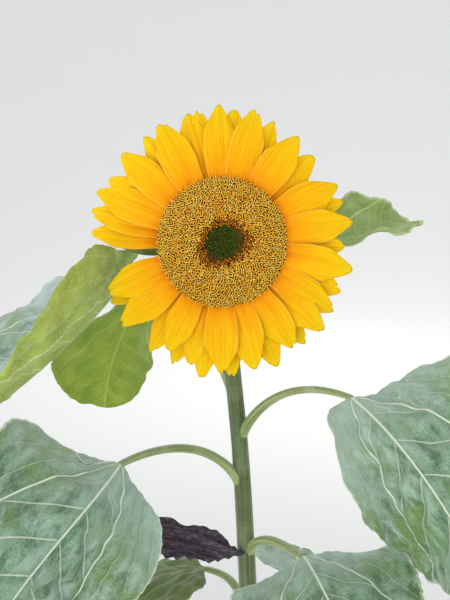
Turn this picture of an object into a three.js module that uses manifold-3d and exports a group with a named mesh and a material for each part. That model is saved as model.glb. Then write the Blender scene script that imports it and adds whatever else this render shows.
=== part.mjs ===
// A sunflower plant about 1.17 m tall, in millimetres with +Z up. The origin is the centre of the flat cut
// under the stem, at ground level, and the flower faces -Y. Every leaf is a stalk and a blade, and the flower
// head is a seed disc and three whorls of ray petals on a receptacle with its bracts.
import * as THREE from "three";
import { mergeVertices } from "three/addons/utils/BufferGeometryUtils.js";
import Module from "manifold-3d";

const wasm = await Module();
wasm.setup();

// Clearance between pieces that touch on the plant, and the shortest edge that is left after a cut.
const GAP = 0.3;
const SHORTEST_EDGE = 0.05;
const DEG = Math.PI / 180;

// Stem: the points its centre line passes through, from the ground to the back of the head, and its radii.
const STEM_LINE = [
  [0, 0, 0],
  [-2, 4, 230],
  [-8, 3, 460],
  [-17, 0, 688],
  [-25.5, 0, 844],
  [-33, 6, 925],
  [-39, 21, 990],
];
const STEM_RADIUS_BASE = 12.5;
const STEM_RADIUS_TOP = 7.6;
const STEM_TAPER_LENGTH = 930;
const STEM_TAPER_POWER = 0.9;
const STEM_FLARE = 7;
const STEM_FLARE_HEIGHT = 22;
const NECK_RADIUS = 10.5;
const NECK_SWELL_LENGTH = 70;
const NECK_STRAIGHT = 22;
const NECK_SAG = 9;
const STEM_SIDES = 12;
const STEM_RINGS = 28;

// Flower head: centre of the disc's rim plane, the way it faces, and its sizes.
const HEAD_CENTRE = new THREE.Vector3(-42.6, -48, 1050);
const HEAD_YAW = -3;
const HEAD_TILT = 9;
const DISC_RADIUS = 56;
const DISC_NECK_RADIUS = 50;
const DISC_RIM_HEIGHT = 1.2;
const DISC_DOME = 5.5;
const DISC_DIMPLE = 3;
const DISC_DIMPLE_RADIUS = 19;
const DISC_RINGS = 7;
const RECEPTACLE_DEPTH = 28;
const RECEPTACLE_RADIUS = 57;
const RECEPTACLE_RIM = 3;
const RECEPTACLE_RINGS = 5;
const HEAD_SIDES = 30;

// Ray petals: three whorls, each on its own ring round the disc's neck.
const WHORL_PITCH = 3.6;
const RING_THICKNESS = WHORL_PITCH - GAP;
const RING_RADIUS = 55;
const PETAL_ROOT_RADIUS = 52;
const PETAL_THICKNESS = 1.2;
const PETAL_CAMBER = 0.1;
const PETAL_RISE = 13;
const PETAL_RECURVE = -24;
const PETAL_FULL_LENGTH = 64;
const PETAL_ROOT_WIDTH = 0.62;
const PETAL_WIDEST_AT = 0.45;
const PETAL_BLUNTNESS = 3.6;
const PETAL_STEPS = 6;
// Each petal is [its angle from the flower's right, anticlockwise, and its length].
const WHORLS = [
  {
    name: "ray_petals_front",
    width: 28,
    petals: [
      [9.5, 63], [27, 61], [55, 62], [76, 68], [92, 69], [118.5, 67], [139, 68], [158, 71],
      [204, 57], [220, 63], [243, 54], [270, 65], [285.5, 63], [304, 61], [329, 64], [348, 64],
    ],
  },
  {
    name: "ray_petals_middle",
    width: 27,
    petals: [
      [43, 58], [67, 64], [85, 65], [106, 68], [127, 67], [151, 66], [167, 68],
      [237, 67], [255.5, 61], [293.5, 69], [319, 66], [338, 60], [358, 55],
    ],
  },
  {
    name: "ray_petals_back",
    width: 25,
    petals: [[19, 60], [101, 66], [176, 65], [209, 63], [247.5, 68], [261.5, 70], [274, 68], [310, 65]],
  },
];

// Bracts: two rows of pointed green scales at the edge of the receptacle.
const BRACT_ROWS = [
  { count: 12, first: 4, length: 34, width: 15, height: -14, slope: -16 },
  { count: 12, first: 20, length: 31, width: 14, height: -18.5, slope: -30 },
];
const BRACT_INSET = 9;
const BRACT_RECURVE = 34;
const BRACT_CAMBER = 0.16;
const BRACT_THICKNESS = 1.6;

// Leaf stalks.
const STALK_SIDES = 8;
const STALK_STEPS = 8;
const STALK_RADIUS_ROOT = 5;
const STALK_RADIUS_TIP = 3;
const STALK_FLARE = 2.2;
const STALK_FLARE_LENGTH = 7;
const STALK_BOW_ROOT = 0.5;
const STALK_BOW_TIP = 0.38;
const STALK_DROP = 0.9;

// Leaf blades. Every leaf shares this outline; lengths below are shares of its length or half width. Beside
// the foot the margin runs forward along the side vein before it swings out. The collar is the blade's width
// at the foot, and its slant is how far its edge follows a lobe that runs back.
const OUTLINE_LOBE = 0.03;
const OUTLINE_LOBE_ANGLE = 0.3;
const OUTLINE_OVATE = 0.28;
const OUTLINE_FULLNESS = 0.92;
const OUTLINE_WIDEST = 1.035;
const OUTLINE_POINT = 0.4;
const OUTLINE_POINT_ANGLE = 0.5;
const OUTLINE_SINUS = 0.05;
const OUTLINE_SINUS_ANGLE = 0.2;
const OUTLINE_PINCH_LENGTH = 0.5;
const BLADE_COLLAR = 2.6;
const BLADE_FOOT_POWER = 12;
const COLLAR_SLANT = 9.5;
const BLADE_THICKNESS_SHARE = 0.0102;
const MIDRIB_DEPTH = 1.8;
const MIDRIB_STEPS = 60;
const BLADE_ROWS = 11;
const BLADE_ROW_SPACING = 1.35;
const BLADE_COLUMNS = 3;
const RUFFLE_WAVES = 2.5;
const RUFFLE_SIDE_SHIFT = 2.1;

// The leaves of the upper half of the stem, one by one. Angles are in degrees and lengths in millimetres.
//   height: where the stalk leaves the stem; leave: its slope there
//   bearing, reach, rise: from there to the blade's foot
//   heading, turn: the midrib's compass angle at its foot, from +X, and its change by the tip
//   pitch, droop: the midrib's slope at its foot and at its tip
//   roll, twist: how far the blade leans at its foot, and the change by the tip
//   foldL, foldR: slope of the left and right half at the midrib
//   curlL, curlR: the change of that slope by the margin
//   sinusL, sinusR: how far the margin runs forward beside the foot, or back where it is less than 0
//   point: how much the tip is drawn out; pinch: width beside the foot as a share of the usual
//   stalkTip: the stalk's radius at the blade; stalkDrop: how far its end lies below the blade's middle
//   stalkShort: how far it stops before the blade's foot
const UPPER_LEAVES = [
  {
    name: "left", height: 806, bearing: 208.5, reach: 124.5, rise: 47.5, leave: 64,
    heading: 260, turn: -80, pitch: -6, droop: -73, roll: -23.5, twist: -100, length: 242, width: 207,
    foldL: -33, foldR: -24, curlL: 10, curlR: 54, sinusL: 0.036, sinusR: 0.076,
  },
  {
    name: "right", height: 855, bearing: -36, reach: 118, rise: 62.5, leave: 64,
    heading: -71.5, turn: 23.5, pitch: -4, droop: -67, roll: 33, twist: 37, length: 268, width: 210,
    foldL: -28, foldR: -46, curlL: 50, curlR: -15, sinusL: 0.125, sinusR: -0.12,
    stalkTip: 2.4, stalkDrop: 0, stalkShort: 4.35,
  },
  {
    name: "low_right", height: 735, bearing: -52.7, reach: 81, rise: 33, leave: 66,
    heading: -89, turn: 31, pitch: 23, droop: -59.5, roll: 15, twist: 2, length: 208, width: 162,
    foldL: -22, foldR: -29, curlL: 30, curlR: 51, sinusL: 0.12, sinusR: 0.07,
  },
  {
    name: "upper_left", height: 895, bearing: 157.5, reach: 125, rise: 96, leave: 66,
    heading: 237.5, turn: -25.5, pitch: -33, droop: -23.5, roll: -5.5, twist: -42.5, length: 264, width: 231,
    foldL: 55, foldR: 30, curlL: 38, curlR: -95, sinusL: -0.1, sinusR: 0.04,
    stalkTip: 2.4, stalkDrop: 2.7, stalkShort: 3.1,
  },
  {
    name: "upper_left_back", height: 945, bearing: 134, reach: 126, rise: 30, leave: 35,
    heading: 156.5, turn: -32, pitch: -50, droop: -78, roll: 21, twist: 17, length: 149, width: 167,
    foldL: -14, foldR: 7, curlL: -19, curlR: 71, sinusL: 0.04, sinusR: 0, point: 0,
    stalkShort: 1.05,
  },
  {
    name: "upper_right", height: 950, bearing: 2, reach: 91.5, rise: 91, leave: 66,
    heading: 34, turn: 16.5, pitch: 10.5, droop: -5.5, roll: -1, twist: -16, length: 134, width: 84,
    foldL: 51, foldR: 12, curlL: 49, curlR: -33,
  },
  {
    name: "low_left_back", height: 660, bearing: 127, reach: 75, rise: 31, leave: 65,
    heading: 189, turn: 4, pitch: 2, droop: -58, roll: 9, twist: -6, length: 200, width: 170,
    foldL: 8, foldR: 2, curlL: -28, curlR: -30, stalkShort: 1.7,
  },
  {
    name: "withered", height: 741, bearing: 235, reach: 17, rise: 4, leave: 20,
    heading: 184, turn: -6, pitch: 20, droop: 8, roll: -43, twist: 5, length: 120, width: 42,
    foldL: -28, foldR: 14, curlL: 37, curlR: -60, sinusL: 0, sinusR: 0, pinch: 0.25,
    stalkRadius: 3, stalkTip: 2.4, withered: true,
  },
];

// Lower leaves: one rule sets them down the stem, each turned on from the last by the golden angle.
const LOWER_COUNT = 9;
const LOWER_TOP = 622;
const LOWER_STEP = 56;
const LOWER_FIRST_BEARING = 62;
const GOLDEN_ANGLE = 137.5;

const mix = (a, b, t) => a + (b - a) * t;
const clamp01 = (t) => Math.min(1, Math.max(0, t));
const smooth = (t) => clamp01(t) ** 2 * (3 - 2 * clamp01(t));
// A repeatable number from 0 to 1 for a leaf, petal or bract.
const chance = (i, salt) => {
  const x = Math.sin(i * 12.9898 + salt * 78.233) * 43758.5453;
  return x - Math.floor(x);
};
const between = (i, salt, low, high) => mix(low, high, chance(i, salt));

const MATERIALS = {
  stem: [0x6f8a3c, 0.6],
  stalk: [0xa9b86a, 0.55],
  leaf: [0x4f7a3a, 0.55],
  withered_leaf: [0x3a2f38, 0.85],
  disc: [0xb8892a, 0.8],
  petal: [0xffc107, 0.5],
  head_green: [0x6d9440, 0.6],
};
const materialOf = (kind) =>
  new THREE.MeshStandardMaterial({ color: MATERIALS[kind][0], roughness: MATERIALS[kind][1], metalness: 0 });

// Solids and geometries
function toSolid(geometry) {
  const bare = geometry.clone();
  bare.deleteAttribute("normal");
  bare.deleteAttribute("uv");
  const merged = mergeVertices(bare, 1e-3);
  const mesh = new wasm.Mesh({
    numProp: 3,
    vertProperties: new Float32Array(merged.attributes.position.array),
    triVerts: new Uint32Array(merged.index.array),
  });
  return new wasm.Manifold(mesh);
}

function toGeometry(solid) {
  const mesh = solid.getMesh();
  const geometry = new THREE.BufferGeometry();
  geometry.setAttribute("position", new THREE.BufferAttribute(new Float32Array(mesh.vertProperties), 3));
  geometry.setIndex(new THREE.BufferAttribute(new Uint32Array(mesh.triVerts), 1));
  return geometry;
}

// The largest of the bodies that a cut or join leaves, with its short edges closed up. A hollow sealed by a
// join is filled.
function largest(solid) {
  const body = solid.decompose().sort((a, b) => b.volume() - a.volume())[0];
  return toSolid(withoutSlivers(toGeometry(body)));
}

// Merges points that nearly meet, and leaves out the triangles that then have no area.
function withoutSlivers(geometry, nearest = SHORTEST_EDGE) {
  const merged = mergeVertices(geometry, nearest);
  const index = merged.index.array;
  const kept = [];
  for (let i = 0; i < index.length; i += 3) {
    const [a, b, c] = [index[i], index[i + 1], index[i + 2]];
    if (a !== b && b !== c && c !== a) kept.push(a, b, c);
  }
  merged.setIndex(kept);
  return merged;
}

// A closed geometry from two grids of points, a top and a bottom sheet, joined round their edges. Triangles
// with no area, where a row comes to a point, are left out.
function sheetGeometry(top, bottom) {
  const rows = top.length;
  const columns = top[0].length;
  const positions = [];
  for (const p of [top, bottom].flat(2)) positions.push(p.x, p.y, p.z);
  const at = (side, i, j) => side * rows * columns + i * columns + j;
  const faces = [];
  const quad = (a, b, c, d) => faces.push(a, b, c, a, c, d);
  for (let i = 0; i < rows - 1; i++) {
    for (let j = 0; j < columns - 1; j++) {
      quad(at(0, i, j), at(0, i + 1, j), at(0, i + 1, j + 1), at(0, i, j + 1));
      quad(at(1, i, j), at(1, i, j + 1), at(1, i + 1, j + 1), at(1, i + 1, j));
    }
    quad(at(0, i, 0), at(1, i, 0), at(1, i + 1, 0), at(0, i + 1, 0));
    quad(at(0, i, columns - 1), at(0, i + 1, columns - 1), at(1, i + 1, columns - 1), at(1, i, columns - 1));
  }
  for (let j = 0; j < columns - 1; j++) {
    quad(at(0, 0, j), at(0, 0, j + 1), at(1, 0, j + 1), at(1, 0, j));
    quad(at(0, rows - 1, j), at(1, rows - 1, j), at(1, rows - 1, j + 1), at(0, rows - 1, j + 1));
  }
  const raw = new THREE.BufferGeometry();
  raw.setAttribute("position", new THREE.BufferAttribute(new Float32Array(positions), 3));
  raw.setIndex(faces);
  return withoutSlivers(raw, 1e-3);
}

// A closed tapered tube along a curve, with a radius for each share of its length.
function tubeSolid(curve, radiusAt, sides, steps) {
  const frames = curve.computeFrenetFrames(steps, false);
  const positions = [];
  for (let i = 0; i <= steps; i++) {
    const centre = curve.getPointAt(i / steps);
    for (let j = 0; j < sides; j++) {
      const angle = (2 * Math.PI * j) / sides;
      const p = centre
        .clone()
        .addScaledVector(frames.normals[i], Math.cos(angle) * radiusAt(i / steps))
        .addScaledVector(frames.binormals[i], Math.sin(angle) * radiusAt(i / steps));
      positions.push(p.x, p.y, p.z);
    }
  }
  const faces = [];
  for (let i = 0; i < steps; i++) {
    for (let j = 0; j < sides; j++) {
      const [a, b] = [i * sides + j, i * sides + ((j + 1) % sides)];
      faces.push(a, b, b + sides, a, b + sides, a + sides);
    }
  }
  for (let j = 1; j < sides - 1; j++) {
    faces.push(0, j + 1, j);
    faces.push(steps * sides, steps * sides + j, steps * sides + j + 1);
  }
  const geometry = new THREE.BufferGeometry();
  geometry.setAttribute("position", new THREE.BufferAttribute(new Float32Array(positions), 3));
  geometry.setIndex(faces);
  return toSolid(geometry);
}

// Head frame: local +Z is the way the flower faces.
const headNormal = new THREE.Vector3(
  Math.sin(HEAD_YAW * DEG) * Math.cos(HEAD_TILT * DEG),
  -Math.cos(HEAD_YAW * DEG) * Math.cos(HEAD_TILT * DEG),
  Math.sin(HEAD_TILT * DEG),
);
const headRight = new THREE.Vector3(0, 0, 1).cross(headNormal).normalize();
const headUp = headNormal.clone().cross(headRight);
const headMatrix = new THREE.Matrix4().makeBasis(headRight, headUp, headNormal).setPosition(HEAD_CENTRE);

// Stem
const neckEnd = HEAD_CENTRE.clone().addScaledVector(headNormal, -(3 * WHORL_PITCH + RECEPTACLE_DEPTH + GAP));
const neckBend = neckEnd.clone().addScaledVector(headNormal, -NECK_STRAIGHT);
neckBend.z -= NECK_SAG;
const pastNeck = neckEnd.clone().addScaledVector(headNormal, 6);
const stemCurve = new THREE.CatmullRomCurve3(
  [...STEM_LINE.map((p) => new THREE.Vector3(...p)), neckBend, pastNeck],
  false,
  "centripetal",
);
const stemLength = stemCurve.getLength();

function stemRadius(share) {
  const along = share * stemLength;
  const taperShare = Math.min(1, along / STEM_TAPER_LENGTH) ** STEM_TAPER_POWER;
  const taper = mix(STEM_RADIUS_BASE, STEM_RADIUS_TOP, taperShare);
  const flare = STEM_FLARE * Math.exp(-along / STEM_FLARE_HEIGHT);
  const swell = smooth(1 - (stemLength - along) / NECK_SWELL_LENGTH);
  const neck = (NECK_RADIUS - STEM_RADIUS_TOP) * swell;
  return taper + flare + neck;
}

function stemSolid(extra) {
  const solid = tubeSolid(stemCurve, (share) => stemRadius(share) + extra, STEM_SIDES, STEM_RINGS);
  const away = headNormal.clone().negate();
  return solid.trimByPlane([0, 0, 1], 0).trimByPlane(away.toArray(), away.dot(neckEnd));
}

// The stem's centre at a height above the ground.
function stemAt(height) {
  let low = 0;
  let high = 0.97;
  for (let i = 0; i < 40; i++) {
    const middle = (low + high) / 2;
    if (stemCurve.getPointAt(middle).z < height) low = middle;
    else high = middle;
  }
  return stemCurve.getPointAt(low);
}

const sinusOf = (leaf, left) => (left ? leaf.sinusL : leaf.sinusR) ?? OUTLINE_SINUS;

// The blade's outline at a share q of the way round one side, from the foot to the tip. It gives a distance
// along as a share of the length, and a distance across as a share of the half width.
function outline(leaf, q, left) {
  const angle = Math.PI * (1 - q);
  const round = (1 - OUTLINE_LOBE) / 2 + ((1 + OUTLINE_LOBE) / 2) * Math.cos(angle);
  const back = OUTLINE_LOBE * Math.exp(-(((Math.PI - angle) / OUTLINE_LOBE_ANGLE) ** 2));
  const sinus = sinusOf(leaf, left);
  const beside = ((Math.PI - angle) / OUTLINE_SINUS_ANGLE) ** 2;
  const ovate = (1 - OUTLINE_OVATE * Math.cos(angle)) / OUTLINE_WIDEST;
  const point = 1 - (leaf.point ?? OUTLINE_POINT) * Math.exp(-((angle / OUTLINE_POINT_ANGLE) ** 2));
  const pinch = mix(leaf.pinch ?? 1, 1, smooth(q / OUTLINE_PINCH_LENGTH));
  return [
    round + back + sinus * beside * Math.exp(1 - beside),
    Math.max(0, Math.sin(angle)) ** OUTLINE_FULLNESS * ovate * point * pinch,
  ];
}

// Directions of a leaf's midrib, its left side and its upper face at a share x of its length.
function leafFrame(leaf, x) {
  const heading = (leaf.heading + leaf.turn * x) * DEG;
  const pitch = mix(leaf.pitch, leaf.droop, x) * DEG;
  const roll = (leaf.roll + leaf.twist * x) * DEG;
  const along = new THREE.Vector3(
    Math.cos(pitch) * Math.cos(heading),
    Math.cos(pitch) * Math.sin(heading),
    Math.sin(pitch),
  );
  const level = new THREE.Vector3(-Math.sin(heading), Math.cos(heading), 0);
  const over = along.clone().cross(level);
  const side = level.clone().multiplyScalar(Math.cos(roll)).addScaledVector(over, Math.sin(roll));
  const up = over.multiplyScalar(Math.cos(roll)).addScaledVector(level, -Math.sin(roll));
  return { along, side, up };
}

// The leaf's bending: a function that places a point of the flat blade, along and across in millimetres.
function leafBending(leaf, foot) {
  const steps = MIDRIB_STEPS;
  const midrib = [foot.clone()];
  for (let i = 1; i <= steps; i++) {
    const step = leafFrame(leaf, (i - 0.5) / steps).along.multiplyScalar(leaf.length / steps);
    midrib.push(midrib[i - 1].clone().add(step));
  }
  return (along, across) => {
    const x = clamp01(along / leaf.length);
    const k = Math.min(steps - 1, Math.floor(x * steps));
    const { along: ahead, side, up } = leafFrame(leaf, x);
    const point = midrib[k].clone().lerp(midrib[k + 1], x * steps - k);
    point.addScaledVector(ahead, along - x * leaf.length);
    const left = across > 0;
    const fold = (left ? leaf.foldL : leaf.foldR) * DEG;
    const bend = ((left ? leaf.curlL : leaf.curlR) * DEG + 1e-6) / (leaf.width / 2);
    const out = Math.abs(across);
    const sideways = (Math.sin(fold + bend * out) - Math.sin(fold)) / bend;
    const reach = out / (leaf.width / 2);
    const wave = Math.sin(2 * Math.PI * RUFFLE_WAVES * x + leaf.phase + (left ? 0 : RUFFLE_SIDE_SHIFT));
    const upwards = (Math.cos(fold) - Math.cos(fold + bend * out)) / bend + leaf.ruffle * reach ** 2 * wave;
    point.addScaledVector(side, Math.sign(across) * sideways);
    return point.addScaledVector(up, upwards);
  };
}

function bladeGeometry(leaf, foot) {
  const place = leafBending(leaf, foot);
  const flat = (q, v) => {
    const [along, across] = outline(leaf, q, v > 0);
    const collar = BLADE_COLLAR * (1 - q) ** BLADE_FOOT_POWER;
    const slant = COLLAR_SLANT * Math.min(0, sinusOf(leaf, v > 0));
    const s = leaf.length * mix(q * q, along, Math.abs(v)) + collar * slant * Math.abs(v);
    return [s, (across * (leaf.width / 2) + collar) * v];
  };
  const nudge = 0.5;
  const thickness = leaf.length * BLADE_THICKNESS_SHARE;
  const top = [];
  const bottom = [];
  for (let i = 0; i <= BLADE_ROWS; i++) {
    const q = (i / BLADE_ROWS) ** BLADE_ROW_SPACING;
    top.push([]);
    bottom.push([]);
    for (let j = -BLADE_COLUMNS; j <= BLADE_COLUMNS; j++) {
      const v = j / BLADE_COLUMNS;
      const [s, t] = flat(q, v);
      const point = place(s, t);
      const dAlong = place(s + nudge, t).sub(place(s - nudge, t));
      const sideways = t + (v < 0 ? -nudge : nudge);
      const dAcross = place(s, sideways).sub(point).multiplyScalar(v < 0 ? -1 : 1);
      const level = leafFrame(leaf, clamp01(s / leaf.length)).up;
      const onMidrib = j === 0 || i === BLADE_ROWS;
      const normal = onMidrib ? level : dAlong.cross(dAcross).normalize();
      const rib = j === 0 ? MIDRIB_DEPTH * (1 - q) : 0;
      top[i].push(point.clone().addScaledVector(normal, thickness / 2));
      bottom[i].push(point.clone().addScaledVector(normal, -thickness / 2 - rib));
    }
  }
  return sheetGeometry(top, bottom);
}

// The stalk's centre line, from inside the stem to just short of the blade's foot, at the underside of the
// midrib. The stalk meets the blade at a slant, so it stops where the rim of its end face is a gap away.
function stalkCurve(leaf, root, foot) {
  const outward = new THREE.Vector3(Math.cos(leaf.bearing * DEG), Math.sin(leaf.bearing * DEG), 0);
  const start = outward.clone().multiplyScalar(Math.cos(leaf.leave * DEG));
  start.z = Math.sin(leaf.leave * DEG);
  const span = root.distanceTo(foot);
  const { along: bladeAlong, up } = leafFrame(leaf, 0);
  const ahead = bladeAlong.clone().add(outward).normalize();
  const slant = ahead.angleTo(bladeAlong);
  const slantShort = GAP / Math.cos(slant) + (leaf.stalkTip ?? STALK_RADIUS_TIP) * Math.tan(slant);
  const short = leaf.stalkShort ?? slantShort;
  const drop = leaf.stalkDrop ?? STALK_DROP;
  const end = foot.clone().addScaledVector(ahead, -short).addScaledVector(up, -drop);
  return new THREE.CubicBezierCurve3(
    root,
    root.clone().addScaledVector(start, span * STALK_BOW_ROOT),
    end.clone().addScaledVector(ahead, -span * STALK_BOW_TIP),
    end,
  );
}

function stalkSolid(leaf, curve) {
  const rootRadius = leaf.stalkRadius ?? STALK_RADIUS_ROOT;
  const tipRadius = leaf.stalkTip ?? STALK_RADIUS_TIP;
  const length = curve.getLength();
  const flareAt = (share) => STALK_FLARE * Math.exp((-share * length) / STALK_FLARE_LENGTH);
  const radiusAt = (share) => mix(rootRadius, tipRadius, share) + flareAt(share);
  return tubeSolid(curve, radiusAt, STALK_SIDES, STALK_STEPS);
}

// The lower leaves' rows, by rule.
function lowerLeaf(i) {
  const down = i / (LOWER_COUNT - 1);
  return {
    name: "lower_" + (i + 1),
    height: LOWER_TOP - LOWER_STEP * i,
    bearing: LOWER_FIRST_BEARING + GOLDEN_ANGLE * i + between(i, 1, -8, 8),
    reach: mix(104, 72, down) + between(i, 2, -6, 6),
    rise: mix(40, 12, down) + between(i, 3, -5, 5),
    leave: mix(56, 42, down),
    heading: LOWER_FIRST_BEARING + GOLDEN_ANGLE * i + between(i, 4, -14, 14),
    turn: between(i, 19, -16, 16),
    pitch: mix(-4, -26, down) + between(i, 6, -5, 5),
    droop: mix(-62, -78, down) + between(i, 7, -6, 6),
    roll: between(i, 18, -10, 10),
    twist: between(i, 9, -20, 20),
    length: mix(212, 148, down ** 1.6) + between(i, 10, -8, 8),
    width: mix(178, 118, down ** 1.6) + between(i, 11, -8, 8),
    foldL: between(i, 24, 2, 16),
    foldR: between(i, 25, 2, 16),
    curlL: between(i, 14, -46, -14),
    curlR: between(i, 15, -46, -14),
  };
}

// Flower head
function headMesh(name, kind, solidInHeadFrame) {
  return namedMesh(name, kind, toGeometry(solidInHeadFrame.transform(headMatrix.toArray())));
}

// A solid of revolution about the head's axis, from its profile of [radius, height].
function headLathe(profile) {
  const points = profile.map(([radius, height]) => new THREE.Vector2(radius, height));
  return toSolid(new THREE.LatheGeometry(points, HEAD_SIDES).rotateX(Math.PI / 2));
}

function discProfile() {
  const profile = [
    [0, -3 * WHORL_PITCH],
    [DISC_NECK_RADIUS, -3 * WHORL_PITCH],
    [DISC_NECK_RADIUS, GAP],
    [DISC_RADIUS - 1, GAP],
  ];
  for (let i = 0; i <= DISC_RINGS; i++) {
    const radius = DISC_RADIUS * (1 - i / DISC_RINGS);
    profile.push([radius, discHeight(radius)]);
  }
  return profile;
}

// Height of the disc's face above the rim plane: a low dome with a dimple where the florets haven't opened.
function discHeight(radius) {
  const dome = DISC_DOME * (1 - (radius / DISC_RADIUS) ** 4);
  const dimple = DISC_DIMPLE * Math.exp(-((radius / DISC_DIMPLE_RADIUS) ** 2));
  return DISC_RIM_HEIGHT + dome - dimple;
}

function ringSolid(level) {
  const [inner, outer] = [DISC_NECK_RADIUS + GAP, RING_RADIUS];
  const [low, high] = [-WHORL_PITCH * level - RING_THICKNESS, -WHORL_PITCH * level];
  return headLathe([[inner, low], [outer, low], [outer, high], [inner, high], [inner, low]]);
}

// Half width of a petal at a share u of its length, as a share of its widest.
function petalHalfWidth(u) {
  const widening = mix(PETAL_ROOT_WIDTH, 1, smooth(u / PETAL_WIDEST_AT));
  return widening * Math.max(0, 1 - u ** PETAL_BLUNTNESS) ** 0.75;
}

// A petal or bract: a thin blade that leaves the head's axis at an angle, along a line that bends. Its camber
// is how far its margins drop, as a share of its half width.
function rayGeometry({ angle, root, height, rise, recurve, length, halfWidthAt, camber, thickness, steps }) {
  const out = new THREE.Vector3(Math.cos(angle), Math.sin(angle), 0);
  const across = new THREE.Vector3(-Math.sin(angle), Math.cos(angle), 0);
  const top = [];
  const bottom = [];
  for (let i = 0; i <= steps; i++) {
    const u = i / steps;
    const slopeNow = (rise + (recurve - rise) * u) * DEG;
    const bend = (recurve - rise) * DEG + 1e-6;
    const ahead = ((Math.sin(rise * DEG + bend * u) - Math.sin(rise * DEG)) / bend) * length;
    const lift = ((Math.cos(rise * DEG) - Math.cos(rise * DEG + bend * u)) / bend) * length;
    top.push([]);
    bottom.push([]);
    for (const v of [-1, 0, 1]) {
      const half = halfWidthAt(u);
      const normal = new THREE.Vector3(0, 0, Math.cos(slopeNow)).addScaledVector(out, -Math.sin(slopeNow));
      const point = out
        .clone()
        .multiplyScalar(root + ahead)
        .addScaledVector(across, half * v)
        .add(new THREE.Vector3(0, 0, height + lift))
        .addScaledVector(normal, -camber * half * v * v * smooth(u / 0.3));
      top[i].push(point.clone().addScaledVector(normal, thickness / 2));
      bottom[i].push(point.clone().addScaledVector(normal, -thickness / 2));
    }
  }
  return sheetGeometry(top, bottom);
}

function whorlSolid(whorl, level) {
  let solid = ringSolid(level);
  for (const [angle, length] of whorl.petals) {
    const petal = rayGeometry({
      angle: angle * DEG,
      root: PETAL_ROOT_RADIUS,
      height: -WHORL_PITCH * level - RING_THICKNESS / 2,
      rise: PETAL_RISE,
      recurve: mix(PETAL_RISE, PETAL_RECURVE, length / PETAL_FULL_LENGTH),
      length,
      halfWidthAt: (u) => (whorl.width / 2) * petalHalfWidth(u),
      camber: PETAL_CAMBER,
      thickness: PETAL_THICKNESS,
      steps: PETAL_STEPS,
    });
    solid = solid.add(toSolid(petal));
  }
  return solid;
}

function receptacleSolid() {
  const top = -3 * WHORL_PITCH - GAP;
  const bottom = top - RECEPTACLE_DEPTH + GAP;
  const profile = [[0, bottom]];
  for (let i = 0; i <= RECEPTACLE_RINGS; i++) {
    const share = i / RECEPTACLE_RINGS;
    const radius = mix(NECK_RADIUS + 2, RECEPTACLE_RADIUS, Math.sin((share * Math.PI) / 2));
    profile.push([radius, mix(bottom, top - RECEPTACLE_RIM, share ** 1.5)]);
  }
  profile.push([RECEPTACLE_RADIUS, top], [0, top]);
  let solid = headLathe(profile);
  for (const row of BRACT_ROWS) {
    for (let i = 0; i < row.count; i++) {
      const bract = rayGeometry({
        angle: (row.first + (360 / row.count) * i) * DEG,
        root: RECEPTACLE_RADIUS - BRACT_INSET,
        height: row.height,
        rise: row.slope,
        recurve: row.slope + BRACT_RECURVE,
        length: row.length + BRACT_INSET,
        halfWidthAt: (u) => (row.width / 2) * Math.sin(Math.PI * mix(0.3, 1, u)) ** 0.8,
        camber: BRACT_CAMBER,
        thickness: BRACT_THICKNESS,
        steps: 3,
      });
      solid = solid.add(toSolid(bract));
    }
  }
  return largest(solid);
}

function namedMesh(name, kind, geometry) {
  const mesh = new THREE.Mesh(geometry, materialOf(kind));
  mesh.name = name;
  return mesh;
}

const plant = new THREE.Group();
plant.name = "sunflower_plant";
plant.add(namedMesh("stem", "stem", toGeometry(stemSolid(0))));

const stemClearance = stemSolid(GAP);
const leaves = [...UPPER_LEAVES, ...Array.from({ length: LOWER_COUNT }, (_, i) => lowerLeaf(i))];
leaves.forEach((row, i) => {
  const leaf = { ruffle: between(i, 30, 2, 5), phase: between(i, 31, 0, 6), ...row };
  const root = stemAt(leaf.height);
  const foot = new THREE.Vector3(
    root.x + leaf.reach * Math.cos(leaf.bearing * DEG),
    root.y + leaf.reach * Math.sin(leaf.bearing * DEG),
    root.z + leaf.rise,
  );
  const stalk = largest(stalkSolid(leaf, stalkCurve(leaf, root, foot)).subtract(stemClearance));
  plant.add(namedMesh("stalk_" + leaf.name, "stalk", toGeometry(stalk)));
  const blade = bladeGeometry(leaf, foot);
  plant.add(namedMesh("leaf_" + leaf.name, leaf.withered ? "withered_leaf" : "leaf", blade));
});

plant.add(headMesh("seed_disc", "disc", headLathe(discProfile())));
WHORLS.forEach((whorl, level) => plant.add(headMesh(whorl.name, "petal", whorlSolid(whorl, level))));
plant.add(headMesh("receptacle", "head_green", receptacleSolid()));

export default plant;
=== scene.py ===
import math

import bpy
import numpy as np
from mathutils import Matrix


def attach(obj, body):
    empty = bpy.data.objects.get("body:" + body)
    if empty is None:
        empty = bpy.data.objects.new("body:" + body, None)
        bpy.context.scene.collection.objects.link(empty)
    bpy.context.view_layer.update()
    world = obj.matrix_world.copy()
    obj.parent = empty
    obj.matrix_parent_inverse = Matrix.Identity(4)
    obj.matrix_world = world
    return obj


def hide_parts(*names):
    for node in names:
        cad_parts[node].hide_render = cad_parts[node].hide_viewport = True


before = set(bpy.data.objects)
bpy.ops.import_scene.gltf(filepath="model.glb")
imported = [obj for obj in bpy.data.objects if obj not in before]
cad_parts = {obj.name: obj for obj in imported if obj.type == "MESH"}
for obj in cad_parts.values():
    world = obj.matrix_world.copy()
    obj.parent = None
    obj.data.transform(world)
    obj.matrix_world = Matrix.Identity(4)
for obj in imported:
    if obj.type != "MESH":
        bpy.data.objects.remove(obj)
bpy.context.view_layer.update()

scene = bpy.context.scene
MM = 0.001
SEED = 7
TINY = 1e-6
AXIS_RADIUS = 0.01

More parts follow.
